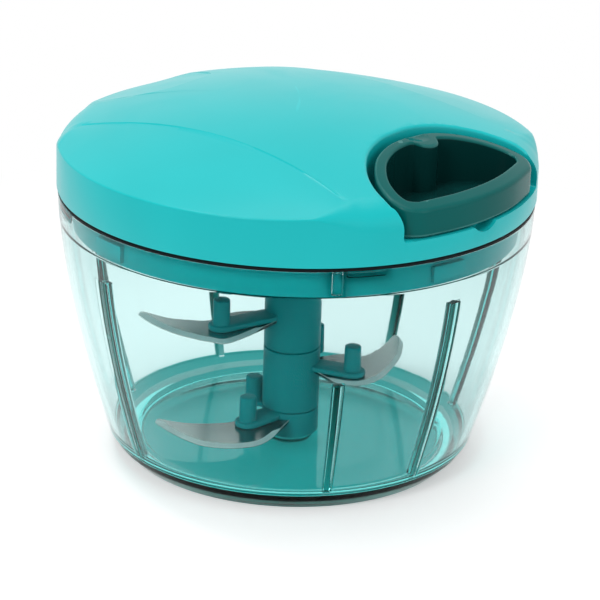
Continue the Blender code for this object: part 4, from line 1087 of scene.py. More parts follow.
    def build(self) -> bpy.types.Object:
        """Make the bowl as one closed mesh with its deep teal foot, partly painted shade, and its painted dark edge
        lines.
        """
        features = self.features()
        azimuths = self.columns(features)
        rows = [[on_circle(r, a, z) for a in azimuths] for r, z in self.outside()]
        rim_inside = RIM_RADIUS - WALL + self.rim_band
        lifted = RIM_HEIGHT + self.rim_lift
        rim = fillet([(RIM_RADIUS, RIM_HEIGHT), (RIM_RADIUS, lifted), (rim_inside, lifted),
                      (rim_inside, RIM_HEIGHT)], 0.0004)
        rows += [[on_circle(r, a, z) for a in azimuths] for r, z in rim[1:-1]]
        for z in self.inner_heights(features):
            inner = self.outer_radius(z) - WALL
            inner += self.rim_band * ease((z - self.rim_band_foot + 0.0002) / 0.0004)
            row = []
            for a in azimuths:
                depth = max(item.depth_at(a, z, RIM_RADIUS) for item in features)
                held = max(inner - depth, min(inner, self.well_radius + self.well_ledge))
                row.append(on_circle(held, a, z))
            rows.append(row)
        rows += [[on_circle(r, a, z) for a in azimuths] for r, z in self.floor()]
        bowl = loft("bowl_moulding", rows)
        smooth(bowl, 50.0)
        dress(bowl, self.finishes.bowl)
        for material in (self.finishes.floor, self.finishes.foot, self.finishes.painted_edge_line,
                         self.finishes.rib_core, self.finishes.ledge_edge, self.finishes.ring):
            bowl.data.materials.append(material)
        for face in bowl.data.polygons:
            face.material_index = self.tint(face.center, face.normal, features).value
        return place(bowl, "bowl", ("bowl",))


@dataclass(frozen=True)
class Facet:
    """A shallow flat cut from the dome, bounded by a curved crease."""

    azimuth: float
    depth: float
    flare: float
    half_width: float
    power: float
    step: float = 0.00025
    swell: float = 0.0004

    def crease(self, t: float) -> float:
        """How far the crease lies from the axis, at t across the facet."""
        return LID_RADIUS - self.depth + self.flare * abs(t / self.half_width) ** self.power

    @cached_property
    def end(self) -> float:
        """Where across the facet its crease runs out at the lid's side."""
        low, high = 0.0, LID_RADIUS
        for _step in range(40):
            middle = (low + high) / 2
            if self.crease(middle) ** 2 + middle * middle < LID_RADIUS ** 2:
                low = middle
            else:
                high = middle
        return low

    def axes(self, x: float, y: float) -> Plan:
        """A plan point as distance out along the facet and across it."""
        a = math.radians(self.azimuth)
        return (x * math.cos(a) + y * math.sin(a), -x * math.sin(a) + y * math.cos(a))

    def height(self, x: float, y: float, edge_drop: float) -> float:
        """Height of the facet over a plan point, or of the dome where it doesn't reach."""
        s, t = self.axes(x, y)
        start = self.crease(t)
        if s <= start or abs(t) >= self.end:
            return dome_height(math.hypot(x, y))
        rim = math.sqrt(max(LID_RADIUS ** 2 - t * t, 0.0))
        top = dome_height(math.hypot(start, t))
        low = dome_height(LID_RADIUS) - edge_drop * (1.0 - (abs(t) / self.end) ** 6)
        share = min((s - start) / max(rim - start, 0.0001), 1.0)
        step = self.step * min((s - start) / 0.00015, 1.0) * (1.0 - share)
        return top + (low - top) * share - step + self.swell * 4.0 * share * (1.0 - share)

    def crossing(self, azimuth: float) -> float | None:
        """The radius where a ray from the axis meets the crease, or None."""
        a = math.radians(azimuth - self.azimuth)
        if math.cos(a) <= 0.0 or abs(LID_RADIUS * math.sin(a)) >= self.end:
            return None
        low, high = 0.010, LID_RADIUS
        for _step in range(30):
            middle = (low + high) / 2
            if middle * math.cos(a) < self.crease(middle * math.sin(a)):
                low = middle
            else:
                high = middle
        return low


@dataclass
class LidForm:
    """The outer form of the lid: dome, facets and rounded shoulders."""

    edge_drop: float = 0.0013
    shoulder: float = 0.0072
    edge: float = 0.0005
    blend: float = 0.0080
    facets: tuple[Facet, ...] = (
        Facet(HANDLE_AZIMUTH + 90.0, 0.0297, 0.0045, 0.0467, 2.0),
        Facet(HANDLE_AZIMUTH - 90.0, 0.0297, 0.0045, 0.0467, 2.0),
        Facet(HANDLE_AZIMUTH + 180.0, 0.0250, 0.0110, 0.0170, 4.0))

    def rounding(self, azimuth: float) -> float:
        """Rounding of the top edge: small along the facets, large between them."""
        share = 0.0
        for facet in self.facets:
            turn_to = math.radians(azimuth - facet.azimuth)
            if math.cos(turn_to) > 0.0:
                inside = facet.end - abs(LID_RADIUS * math.sin(turn_to))
                share = max(share, min(max(inside / self.blend, 0.0), 1.0))
        return self.shoulder + (self.edge - self.shoulder) * share

    def top(self, radius: float, azimuth: float) -> float:
        """Height of the dome and facets, without the rounding at the edge."""
        x, y, _z = on_circle(radius, azimuth)
        return min(facet.height(x, y, self.edge_drop) for facet in self.facets)

    def bend(self, azimuth: float, inset: float, steps: int) -> Profile:
        """The rounded edge at one azimuth, from the top round to the side."""
        wall = LID_RADIUS - inset
        rounding = max(self.rounding(azimuth) - inset, self.edge)
        last = self.top(wall - rounding, azimuth) - inset
        points = []
        for step in range(1, steps + 1):
            turned = step / steps * math.pi / 2
            fall = rounding * (1.0 - math.cos(turned)) + 0.25 * rounding * math.sin(turned) * math.cos(turned)
            points.append((wall - rounding + rounding * math.sin(turned), last - fall))
        return points

    def column(self, azimuth: float, inset: float, inner: int, outer: int, steps: int) -> Profile:
        """Points from the axis over the top and round the edge at one azimuth.

        Args:
            azimuth: In degrees.
            inset: How far under the outer surface the points lie.
            inner: How many spans lie inside the crease.
            outer: How many spans lie outside it.
            steps: How many spans round the edge.

        Returns:
            (radius, height) points.
        """
        wall = LID_RADIUS - inset
        last = wall - max(self.rounding(azimuth) - inset, self.edge)
        found = [r for r in (facet.crossing(azimuth) for facet in self.facets) if r is not None]
        crease = min([*found, last - 0.0006])
        half = 0.00018
        radii = [(crease - half) * i / inner for i in range(inner + 1)]
        start = crease + half
        radii += [start + (last - start) * i / outer for i in range(outer + 1)]
        return [(r, self.top(r, azimuth) - inset) for r in radii] + self.bend(azimuth, inset, steps)

    def surface(self, x: float, y: float) -> float:
        """Height of the outer surface over a plan point, edge rounding included."""
        azimuth = math.degrees(math.atan2(y, x))
        radius = min(math.hypot(x, y), LID_RADIUS - 0.0002)
        rounding = max(self.rounding(azimuth), self.edge)
        start = LID_RADIUS - rounding
        if radius <= start:
            return self.top(radius, azimuth)
        turned = math.asin((radius - start) / rounding)
        fall = rounding * (1.0 - math.cos(turned)) + 0.25 * rounding * math.sin(turned) * math.cos(turned)
        return self.top(start, azimuth) - fall


@dataclass
class HandleForm:
    """The outline of the handle and of the recess that it lies in."""

    half_outline: tuple[Plan, ...] = (
        (0.0294, 0.0), (0.0289, 0.0070), (0.0262, 0.0148), (0.0209, 0.0217), (0.0148, 0.0256), (0.0095, 0.0263),
        (0.0059, 0.0238))
    front_inset: float = 0.0008
    corner_arc: float = 4.0
    back_wall: float = 0.0028
    front_wall: float = 0.0040
    boss_radius: float = 0.0040
    boss_out: float = 0.0355
    boss_across: float = 0.0050
    boss_blend: float = 0.0011
    recess_clearance: float = 0.0019
    per_span: int = 14

    @cached_property
    def outline(self) -> list[Plan]:
        """The outer outline: a rounded triangle whose front follows the lid."""
        half = [(LID_RADIUS - depth, across) for depth, across in self.half_outline]
        tip = math.degrees(math.atan2(half[-1][1], half[-1][0])) - self.corner_arc
        front = arc(LID_RADIUS - self.front_inset, -tip, tip, 5)
        upper = list(reversed(half))
        lower = [(x, -y) for x, y in half[1:]]
        return smooth_loop(front + upper + lower, self.per_span)

    def wall(self, point: Plan) -> float:
        """How thick the ring is at a point of its outline."""
        back, front = LID_RADIUS - self.half_outline[0][0], LID_RADIUS - self.front_inset
        share = (point[0] - back) / (front - back)
        return self.back_wall + (self.front_wall - self.back_wall) * share

    @cached_property
    def opening(self) -> list[Plan]:
        """The finger opening, with the cord boss standing into it."""
        plain = offset_loop(self.outline, lambda point: -self.wall(point))
        shaped = []
        for x, y in plain:
            away = abs(y - self.boss_across)
            if x < self.boss_out + 2 * self.boss_radius and away < 1.3 * self.boss_radius:
                bulge = self.boss_out + math.sqrt(max(self.boss_radius ** 2 - away ** 2, 0.0))
                if away >= self.boss_radius:
                    bulge = self.boss_out - 2.0 * (away - self.boss_radius)
                x = (x + bulge + math.sqrt((x - bulge) ** 2 + self.boss_blend ** 2)) / 2
            shaped.append((x, y))
        return shaped

    def recess(self, extra: float) -> list[Plan]:
        """The recess outline: round the handle, then straight out past the lid's side."""
        loop = offset_loop(self.outline, lambda _point: self.recess_clearance + extra)
        widest = max(y for _x, y in loop)
        turn_at = max(x for x, y in loop if y == widest)
        kept = [p for p in loop if p[0] <= turn_at]
        beyond = LID_RADIUS + 0.0100
        return [(beyond, widest), *kept, (beyond, -widest)]

    def recess_back(self, across: float) -> float:
        """Where the recess's back wall stands at a place across the pull."""
        near = [p for p in self.recess(0.0) if p[0] < self.boss_out]
        return min(near, key=lambda p: abs(p[1] - across))[0]


@dataclass
class Lid:
    """The domed cover with the handle's recess cut in it."""

    finishes: Finishes
    form: LidForm
    handle: HandleForm
    wall: float = 0.0020
    lip: float = 0.0006
    recess_fillet: float = 0.0008
    recess_bed: float = 0.0029
    notch_radius: float = 0.0058
    notch_depth: float = 0.0018
    notch_across: float = -0.0035
    notch_reach: float = 0.0040
    axle_boss: float = 0.0062
    axle_bore: float = 0.0033
    drum_top: float = 0.08954
    screw_circle: float = 0.0500
    screw_boss: float = 0.0036
    guide_radius: float = 0.0029

    def shell(self, name: str, inset: float, bottom: float, steps: tuple[int, int, int, int]) -> bpy.types.Object:
        """A closed solid under the lid's outer form.

        Args:
            name: The new object's name.
            inset: How far under the outer surface it lies.
            bottom: The height of its flat underside.
            steps: Columns round the axis, then spans inside the crease, outside it and round the edge.

        Returns:
            The new object.
        """
        around, inner, outer, bend = steps
        columns = []
        for i in range(around):
            azimuth = 360.0 * i / around
            line = self.form.column(azimuth, inset, inner, outer, bend)
            wall = LID_RADIUS - inset
            line += [(wall, bottom + 0.0005), (wall - 0.00015, bottom + 0.00015), (wall - 0.0005, bottom)]
            columns.append([on_circle(r, azimuth, z) for r, z in line])
        rows = [[column[row] for column in columns] for row in range(len(columns[0]))]
        return loft(name, rows, cap_last=True)

    def recess_cutter(self, name: str, extra: float, floor: float, eased: bool) -> bpy.types.Object:
        """The space over the recess floor, flared at the top to ease the lid's edge.

        Args:
            name: The new object's name.
            extra: How far the outline lies outside the recess.
            floor: The height of its underside.
            eased: Whether the foot and the top edge are rounded.

        Returns:
            The new object.
        """
        base = self.handle.recess(extra)
        radius = self.recess_fillet if eased else 0.0
        foot = [(0.0, floor)]
        if eased:
            foot = [(-radius * (1.0 - math.sin(t)), floor + radius * (1.0 - math.cos(t)))
                    for t in (0.0, 0.4, 0.8, 1.2, math.pi / 2)]
        rows = []
        for out, height in foot:
            plan = pull_plan(offset_loop(base, lambda _point, reach=out: reach))
            rows.append([(x, y, height) for x, y in plan])
        above = DOME_TOP + 0.0100
        flare = [(0.0, None)]
        if eased:
            flare = [(radius * (1.0 - math.cos(t)), -radius + radius * math.sin(t)) for t in (0.0, 0.35, 0.7, 1.05, 1.3)]
            flare += [(radius * (1.0 - math.cos(1.3)) + 0.0012, radius * (math.sin(1.3) - 1.0) + 0.0005)]
        for out, lift in flare:
            plan = pull_plan(offset_loop(base, lambda _point, reach=out: reach))
            rows.append([(x, y, above if lift is None else self.form.surface(x, y) + lift) for x, y in plan])
        if eased:
            rows.append([(x, y, above) for x, y in plan])
        return loft(name, rows, cap_first=True, cap_last=True)

    def screw_places(self) -> list[Plan]:
        """Plan places of the lid screws."""
        return arc(self.screw_circle, HANDLE_AZIMUTH + 60.0, HANDLE_AZIMUTH + 300.0, 3)

    def build(self) -> bpy.types.Object:
        """Make the cover: outer shell, less its hollow, recess, notch and bores."""
        cover = self.shell("lid_dome", 0.0, LID_EDGE, (288, 22, 18, 9))
        hollow = self.shell("lid_hollow", self.wall, LID_EDGE - 0.004, (96, 8, 6, 3))
        tray = self.recess_cutter("recess_tray", self.wall, RECESS_FLOOR - self.recess_bed, False)
        kept = [tray, pin("axle_boss", self.axle_boss, self.drum_top + 2 * GAP, DOME_TOP + 0.010)]
        for number, spot in enumerate(self.screw_places()):
            kept.append(pin(f"screw_boss_{number}", self.screw_boss, PLATE_TOP + GAP, DOME_TOP + 0.010, spot))
        combine(hollow, kept, Operation.CUT)
        back = self.handle.recess_back(self.handle.boss_across)
        bore = lie_out(pin("guide_hole", self.guide_radius, -self.wall, 3 * self.wall), back - self.wall,
                       self.handle.boss_across, CORD_LEVEL)
        notch = lie_out(pin("thumb_notch", self.notch_radius, LID_RADIUS - self.notch_reach,
                            LID_RADIUS + self.notch_reach, segments=48), 0.0, self.notch_across,
                        RECESS_FLOOR - self.notch_depth + self.notch_radius)
        recess = self.recess_cutter("recess_space", 0.0, RECESS_FLOOR, True)
        axle = pin("axle_hole", self.axle_bore, 0.080, self.drum_top + 0.0046)
        combine(cover, [hollow, recess, notch, bore, axle], Operation.CUT)
        smooth(cover, 30.0)
        dress(cover, self.finishes.lid)
        return place(cover, "lid", ("lid_cover",))


@dataclass
class LidBase:
    """The plate under the lid with its skirt, bayonet lugs and hub, and the sealing ring."""

    finishes: Finishes
    skirt_wall: float = 0.0018
    skirt_foot: float = 0.0624
    plate_bottom: float = 0.0712
    flange: float = 0.0597
    hub_bore: float = 0.0096
    hub_outer: float = 0.0126
    lug_count: int = 4
    lug_turn: float = -50.5
    lug_half_arc: float = 4.75
    lug_depth: float = 0.0012
    lug_height: float = 0.0042
    seal_inner: float = 0.0582
    seal_bottom: float = 0.07035
    seal_top: float = 0.0711

    def build(self) -> None:
        """Make the plate with its lugs, then the seal."""
        inner = SKIRT_RADIUS - self.skirt_wall
        corners = [(self.hub_bore, HUB_FOOT), (self.hub_outer, HUB_FOOT),
                   (self.hub_outer, self.plate_bottom - GAP), (inner, self.plate_bottom - GAP),
                   (inner, self.skirt_foot), (SKIRT_RADIUS, self.skirt_foot), (SKIRT_RADIUS, self.plate_bottom),
                   (self.flange, self.plate_bottom), (self.flange, PLATE_TOP), (self.hub_bore, PLATE_TOP)]
        profile = fillet(corners, 0.0004, closed=True)
        plate = turn("lid_base_plate", [*profile, profile[0]], self.finishes.base, 192)
        outline = arc(SKIRT_RADIUS + self.lug_depth, -self.lug_half_arc, self.lug_half_arc, 14)
        outline += arc(SKIRT_RADIUS - self.skirt_wall / 2, self.lug_half_arc, -self.lug_half_arc, 14)
        one = prism("one_lug", outline, SKIRT_BOTTOM, SKIRT_BOTTOM + self.lug_height, 0.00025)
        mesh = one.data.copy()
        bpy.data.objects.remove(one, do_unlink=True)
        lugs = ROUND.grow("bayonet_lugs", mesh, self.finishes.base, Count=self.lug_count,
                          Start=math.radians(self.lug_turn), Spread=2 * math.pi / self.lug_count)
        combine(plate, [lugs], Operation.ADD)
        smooth(plate, 35.0)
        dress(plate, self.finishes.base)
        place(plate, "lid", ("lid_base",))
        ring = fillet([(self.seal_inner, self.seal_bottom), (RIM_RADIUS, self.seal_bottom),
                       (RIM_RADIUS + 0.0001, (self.seal_bottom + self.seal_top) / 2),
                       (RIM_RADIUS, self.seal_top), (self.seal_inner, self.seal_top)], 0.00035, closed=True)
        seal = turn("sealing_ring", [*ring, ring[0]], self.finishes.seal, 192)
        place(seal, "seal", ("rim_seal",))


@dataclass
class PullHandle:
    """The pull handle: a rounded triangular ring with a boss that holds the knot."""

    finishes: Finishes
    form: HandleForm
    top_inset: float = 0.0010
    outer_edge: float = 0.0008
    inner_edge: float = 0.0006
    foot_edge: float = 0.0004
    hold: float = 0.0004
    pocket_radius: float = 0.0027
    web: float = 0.0008
    dish_radius: float = 0.0150
    dish_depth: float = 0.00035

    def section(self, outer: Vector, inner: Vector) -> list[Point]:
        """The ring's section at one place of its outline, from the foot outside over the top."""
        across = inner - outer
        width = across.length
        step_in = across / width
        bottom = RECESS_FLOOR + GAP

        def at(depth: float, drop: float | None) -> Point:
            """A point at a depth in from the outer side, under the top or at the foot."""
            plan = outer + step_in * depth
            top = dome_height(plan.length) - self.top_inset
            return (plan.x, plan.y, bottom if drop is None else top - drop)

        points = [at(self.foot_edge, None)]
        x, y, _z = at(0.0, None)
        points += [(x, y, bottom + self.foot_edge), (x, y, bottom + self.foot_edge + self.hold)]
        points.append(at(0.0, self.outer_edge + self.hold))
        for t in (0.0, 0.3, 0.6, 0.9, 1.2, math.pi / 2):
            points.append(at(self.outer_edge * (1.0 - math.cos(t)), self.outer_edge * (1.0 - math.sin(t))))
        flat = width - self.outer_edge - self.inner_edge
        for share in (min(self.hold / flat, 0.2), 0.33, 0.67, 1.0 - min(self.hold / flat, 0.2)):
            points.append(at(self.outer_edge + flat * share, 0.0))
        for t in (math.pi / 2, 1.2, 0.9, 0.6, 0.3, 0.0):
            points.append(at(width - self.inner_edge * (1.0 - math.cos(t)), self.inner_edge * (1.0 - math.sin(t))))
        points.append(at(width, self.inner_edge + self.hold))
        x, y, _z = at(width, None)
        points.append((x, y, bottom + self.foot_edge))
        points.append(at(width - self.foot_edge, None))
        return points

    def dish(self, spot: Plan, crown: float) -> bpy.types.Object:
        """A ball whose foot presses a shallow dish in the boss's crown."""
        middle = crown - self.dish_depth + self.dish_radius
        profile = []
        for i in range(25):
            a = math.pi * (i / 24 - 0.5)
            profile.append((self.dish_radius * math.cos(a), middle + self.dish_radius * math.sin(a)))
        rows = [[(spot[0] + x, spot[1] + y, z) for x, y in arc(max(r, 0.0), 0.0, 352.5, 48)] for r, z in profile]
        return loft("crown_dish", rows)

    def build(self) -> bpy.types.Object:
        """Make the ring with its web, knot pocket, crown dish and cord hole, with painted shade on its inner walls
        and web.
        """
        outline = pull_plan(self.form.outline)
        opening = pull_plan(self.form.opening)
        sections = [self.section(Vector(o), Vector(n)) for o, n in zip(outline, opening)]
        rows = [[section[k] for section in sections] for k in range(len(sections[0]))]
        handle = loft("pull_handle_ring", [*rows, rows[0]])
        web = prism("handle_web", offset_loop(opening, lambda _point: 0.0008), RECESS_FLOOR + GAP,
                    RECESS_FLOOR + GAP + self.web)
        combine(handle, [web], Operation.ADD)
        spot = pull_plan([(self.form.boss_out, self.form.boss_across)])[0]
        crown = dome_height(math.hypot(*spot)) - self.top_inset
        dish = self.dish(spot, crown)
        pocket = pin("knot_pocket", self.pocket_radius, RECESS_FLOOR - 0.002, CORD_LEVEL + 0.0054, spot, 0.0008)
        hole = lie_out(pin("cord_hole", CORD_RADIUS + GAP, -0.010, 0.0, segments=24), self.form.boss_out,
                       self.form.boss_across, CORD_LEVEL)
        combine(handle, [pocket, hole, dish], Operation.CUT)
        smooth(handle, 32.0)
        dress(handle, self.finishes.handle)
        handle.data.materials.append(self.finishes.handle_inner_shade)
        # Painted shade: faces inside the opening and on the web take the darker inner material.
        inner = [Vector(p) for p in opening]
        for face in handle.data.polygons:
            plan = face.center.xy
            near = min((p - plan).length for p in inner)
            on_web = face.normal.z > 0.9 and face.center.z < RECESS_FLOOR + 2 * self.web
            under = face.center.z < dome_height(plan.length) - self.top_inset - self.inner_edge
            if on_web or (near < 0.0012 and under):
                face.material_index = 1
        return place(handle, "handle", ("pull_handle",))


@dataclass(frozen=True)
class BladeForm:
    """One curved blade: its level, its two edges from root to tip and its pegs."""

    name: str
    level: float
    front: tuple[Plan, ...]
    back: tuple[Plan, ...]
    root: Plan
    pegs: tuple[Plan, Plan]
    thickness: float = 0.0008
    root_radius: float = 0.0052
    stations: int = 56
    bevel_root: float = 0.0013
    bevel_tip: float = 0.0021

    def root_ends(self) -> tuple[Plan, Plan]:
        """The ends of the tab in the column, on the front and the back side."""
        azimuth, width = self.root
        a = math.radians(azimuth)
        across = Vector((-math.sin(a), math.cos(a)))
        middle = Vector((self.root_radius * math.cos(a), self.root_radius * math.sin(a)))
        ends = [middle + across * width / 2, middle - across * width / 2]
        ends.sort(key=lambda p: (Vector(self.front[0]) - p).length)
        return tuple(ends[0]), tuple(ends[1])

    def edge(self, points: Sequence[Plan]) -> list[Plan]:
        """An edge through its points, with evenly spaced stations."""
        fine = smooth_loop(points, 16, closed=False)
        lengths = [0.0]
        for a, b in zip(fine, fine[1:]):
            lengths.append(lengths[-1] + math.dist(a, b))
        even = []
        at = 0
        for i in range(self.stations + 1):
            wanted = lengths[-1] * i / self.stations
            while at < len(fine) - 2 and lengths[at + 1] < wanted:
                at += 1
            span = max(lengths[at + 1] - lengths[at], 1e-9)
            spot = Vector(fine[at]).lerp(Vector(fine[at + 1]), min((wanted - lengths[at]) / span, 1.0))
            even.append((spot.x, spot.y))
        return even

    def edges(self) -> tuple[list[Plan], list[Plan]]:
        """The front and back edges, meeting in a rounded tip."""
        front_root, back_root = self.root_ends()
        far_front, far_back = Vector(self.front[-1]), Vector(self.back[0])
        before = (Vector(self.front[-2]) + Vector(self.back[1])) / 2
        middle = (far_front + far_back) / 2
        tip = middle + (middle - before).normalized() * 0.0005
        front = self.edge([front_root, *self.front, tuple(tip)])
        back = self.edge([back_root, *reversed(self.back), tuple(tip)])
        return front, back


@dataclass
class Blades:
    """The three steel blades, each with a ground bevel along its front edge."""

    finishes: Finishes
    forms: tuple[BladeForm, ...]

    def build(self) -> None:
        """Make each blade."""
        for form in self.forms:
            self.one(form)

    def one(self, form: BladeForm) -> bpy.types.Object:
        """Make one blade as a strip of sections from root to tip."""
        front, back = form.edges()
        top, bottom = form.level + form.thickness, form.level
        rows = []
        for i, (f, b) in enumerate(zip(front, back)):
            share = i / form.stations
            cutting, spine = Vector(f), Vector(b)
            width = (spine - cutting).length
            bevel = (form.bevel_root + (form.bevel_tip - form.bevel_root) * share) * ease((share - 0.12) / 0.08)
            inward = (spine - cutting) / max(width, 1e-6)
            ground = cutting + inward * min(max(bevel, 0.00008), width * 0.6)
            eased = spine - inward * min(0.0001, width * 0.2)
            sharpness = ease((share - 0.12) / 0.08)
            lip = bottom + form.thickness * (0.9 - 0.72 * sharpness)
            rows.append([(cutting.x, cutting.y, bottom), (cutting.x, cutting.y, lip), (ground.x, ground.y, top),
                         (eased.x, eased.y, top), (spine.x, spine.y, top - 0.0001), (spine.x, spine.y, bottom)])
        blade = loft(form.name + "_steel", rows, cap_first=True, cap_last=True)
        smooth(blade, 12.0)
        dress(blade, self.finishes.blade)
        blade.data.materials.append(self.finishes.bevel)
        for face in blade.data.polygons:
            if 0.1 < face.normal.z < 0.99:
                face.material_index = 1
        return place(blade, "blade_unit", (form.name,))


@dataclass
class BladeColumn:
    """The stacked carriers with an arm, pegs and a rivet for each blade."""

    finishes: Finishes
    blades: tuple[BladeForm, ...]
    radius: float = 0.0075
    top: float = 0.0640
    middle_seam: float = 0.0273
    lower_seam: float = 0.0100
    foot: float = 0.0034
    seam_gap: float = 0.0003
    core_flats: float = 0.0072
    core_foot: float = 0.0050
    bore: float = 0.0032
    pin_bore: float = 0.0019
    pin_top: float = 0.0223
    drive_flats: float = 0.0092
    drive_top: float = 0.0735
    peg_radius: float = 0.0023
    peg_height: float = 0.0078
    pad_thickness: float = 0.0011
    pad_radius: float = 0.0034
    rivet_head: float = 0.0024
    edge: float = 0.00035

    def hexagon(self, name: str, flats: float, bottom: float, top: float, edge: float = 0.0) -> bpy.types.Object:
        """A hexagonal bar on the axis."""
        corners = arc(flats / math.sqrt(3), 0.0, 300.0, 6)
        return prism(name, corners, bottom, top, edge)

    def barrel(self, name: str, bottom: float, top: float) -> bpy.types.Object:
        """A stretch of the column with softened ends."""
        profile = fillet([(0.0, bottom), (self.radius, bottom), (self.radius, top), (0.0, top)], self.edge)
        return turn(name, profile, self.finishes.column, 96)

    def link(self, start: Plan, end: Plan, radius: float) -> list[Plan]:
        """A stadium outline round two plan points."""
        along = math.degrees(math.atan2(end[1] - start[1], end[0] - start[0]))
        far = [(end[0] + x, end[1] + y) for x, y in arc(radius, along - 90.0, along + 90.0, 17)]
        near = [(start[0] + x, start[1] + y) for x, y in arc(radius, along + 90.0, along + 270.0, 17)]
        return far + near

    def arm(self, form: BladeForm) -> list[bpy.types.Object]:
        """The pads, pegs and rivet head that hold one blade."""
        top = form.level + form.thickness
        pad_top = top + GAP + self.pad_thickness
        made = []
        for number, (x, y) in enumerate(form.pegs):
            radius = self.pad_radius if number == 0 else self.peg_radius * 0.8
            share = (form.root_radius + radius) / math.hypot(x, y)
            outline = self.link((x * share, y * share), (x, y), radius)
            made.append(prism(f"{form.name}_pad_{number}", outline, top + 0.00005, pad_top, 0.0003))
            made.append(pin(f"{form.name}_peg_{number}", self.peg_radius, top + GAP, top + GAP + self.peg_height,
                            (x, y), 0.0005, 40, 0.95))
        x, y = form.pegs[0]
        made.append(pin(f"{form.name}_rivet", self.rivet_head, form.level - 0.0014, form.level - 0.00005, (x, y),
                        0.0004, 32, 1.0))
        made.append(pin(f"{form.name}_shank", 0.0015, form.level - 0.0008, top + 0.0006, (x, y)))
        return made

    def build(self) -> None:
        """Make the three carriers, each with its arm."""
        upper = self.barrel("carrier_upper_moulding", self.middle_seam, self.top)
        core = self.hexagon("core", self.core_flats, self.core_foot, self.middle_seam + 0.002)
        drive = self.hexagon("drive_head", self.drive_flats, self.top - 0.002, self.drive_top, 0.0005)
        combine(upper, [core, drive, *self.arm(self.blades[0])], Operation.ADD)
        combine(upper, [pin("column_bore", self.bore, 0.0313, self.drive_top + 0.002),
                        pin("pin_bore", self.pin_bore, 0.0, self.pin_top)], Operation.CUT)
        middle = self.barrel("carrier_middle_moulding", self.lower_seam + self.seam_gap,
                             self.middle_seam - self.seam_gap)
        combine(middle, [self.hexagon("middle_socket", self.core_flats + 2 * GAP, 0.009, 0.029)], Operation.CUT)
        combine(middle, self.arm(self.blades[1]), Operation.ADD)
        lower = self.barrel("carrier_lower_moulding", self.foot, self.lower_seam)
        combine(lower, [self.hexagon("lower_socket", self.core_flats + 2 * GAP, 0.0047, 0.012),
                        pin("lower_bore", self.pin_bore, 0.0, 0.007)], Operation.CUT)
        combine(lower, self.arm(self.blades[2]), Operation.ADD)
        for carrier, node in ((upper, "carrier_upper"), (middle, "carrier_middle"), (lower, "carrier_lower")):
            smooth(carrier, 32.0)
            dress(carrier, self.finishes.column)
            place(carrier, "blade_unit", (node,))


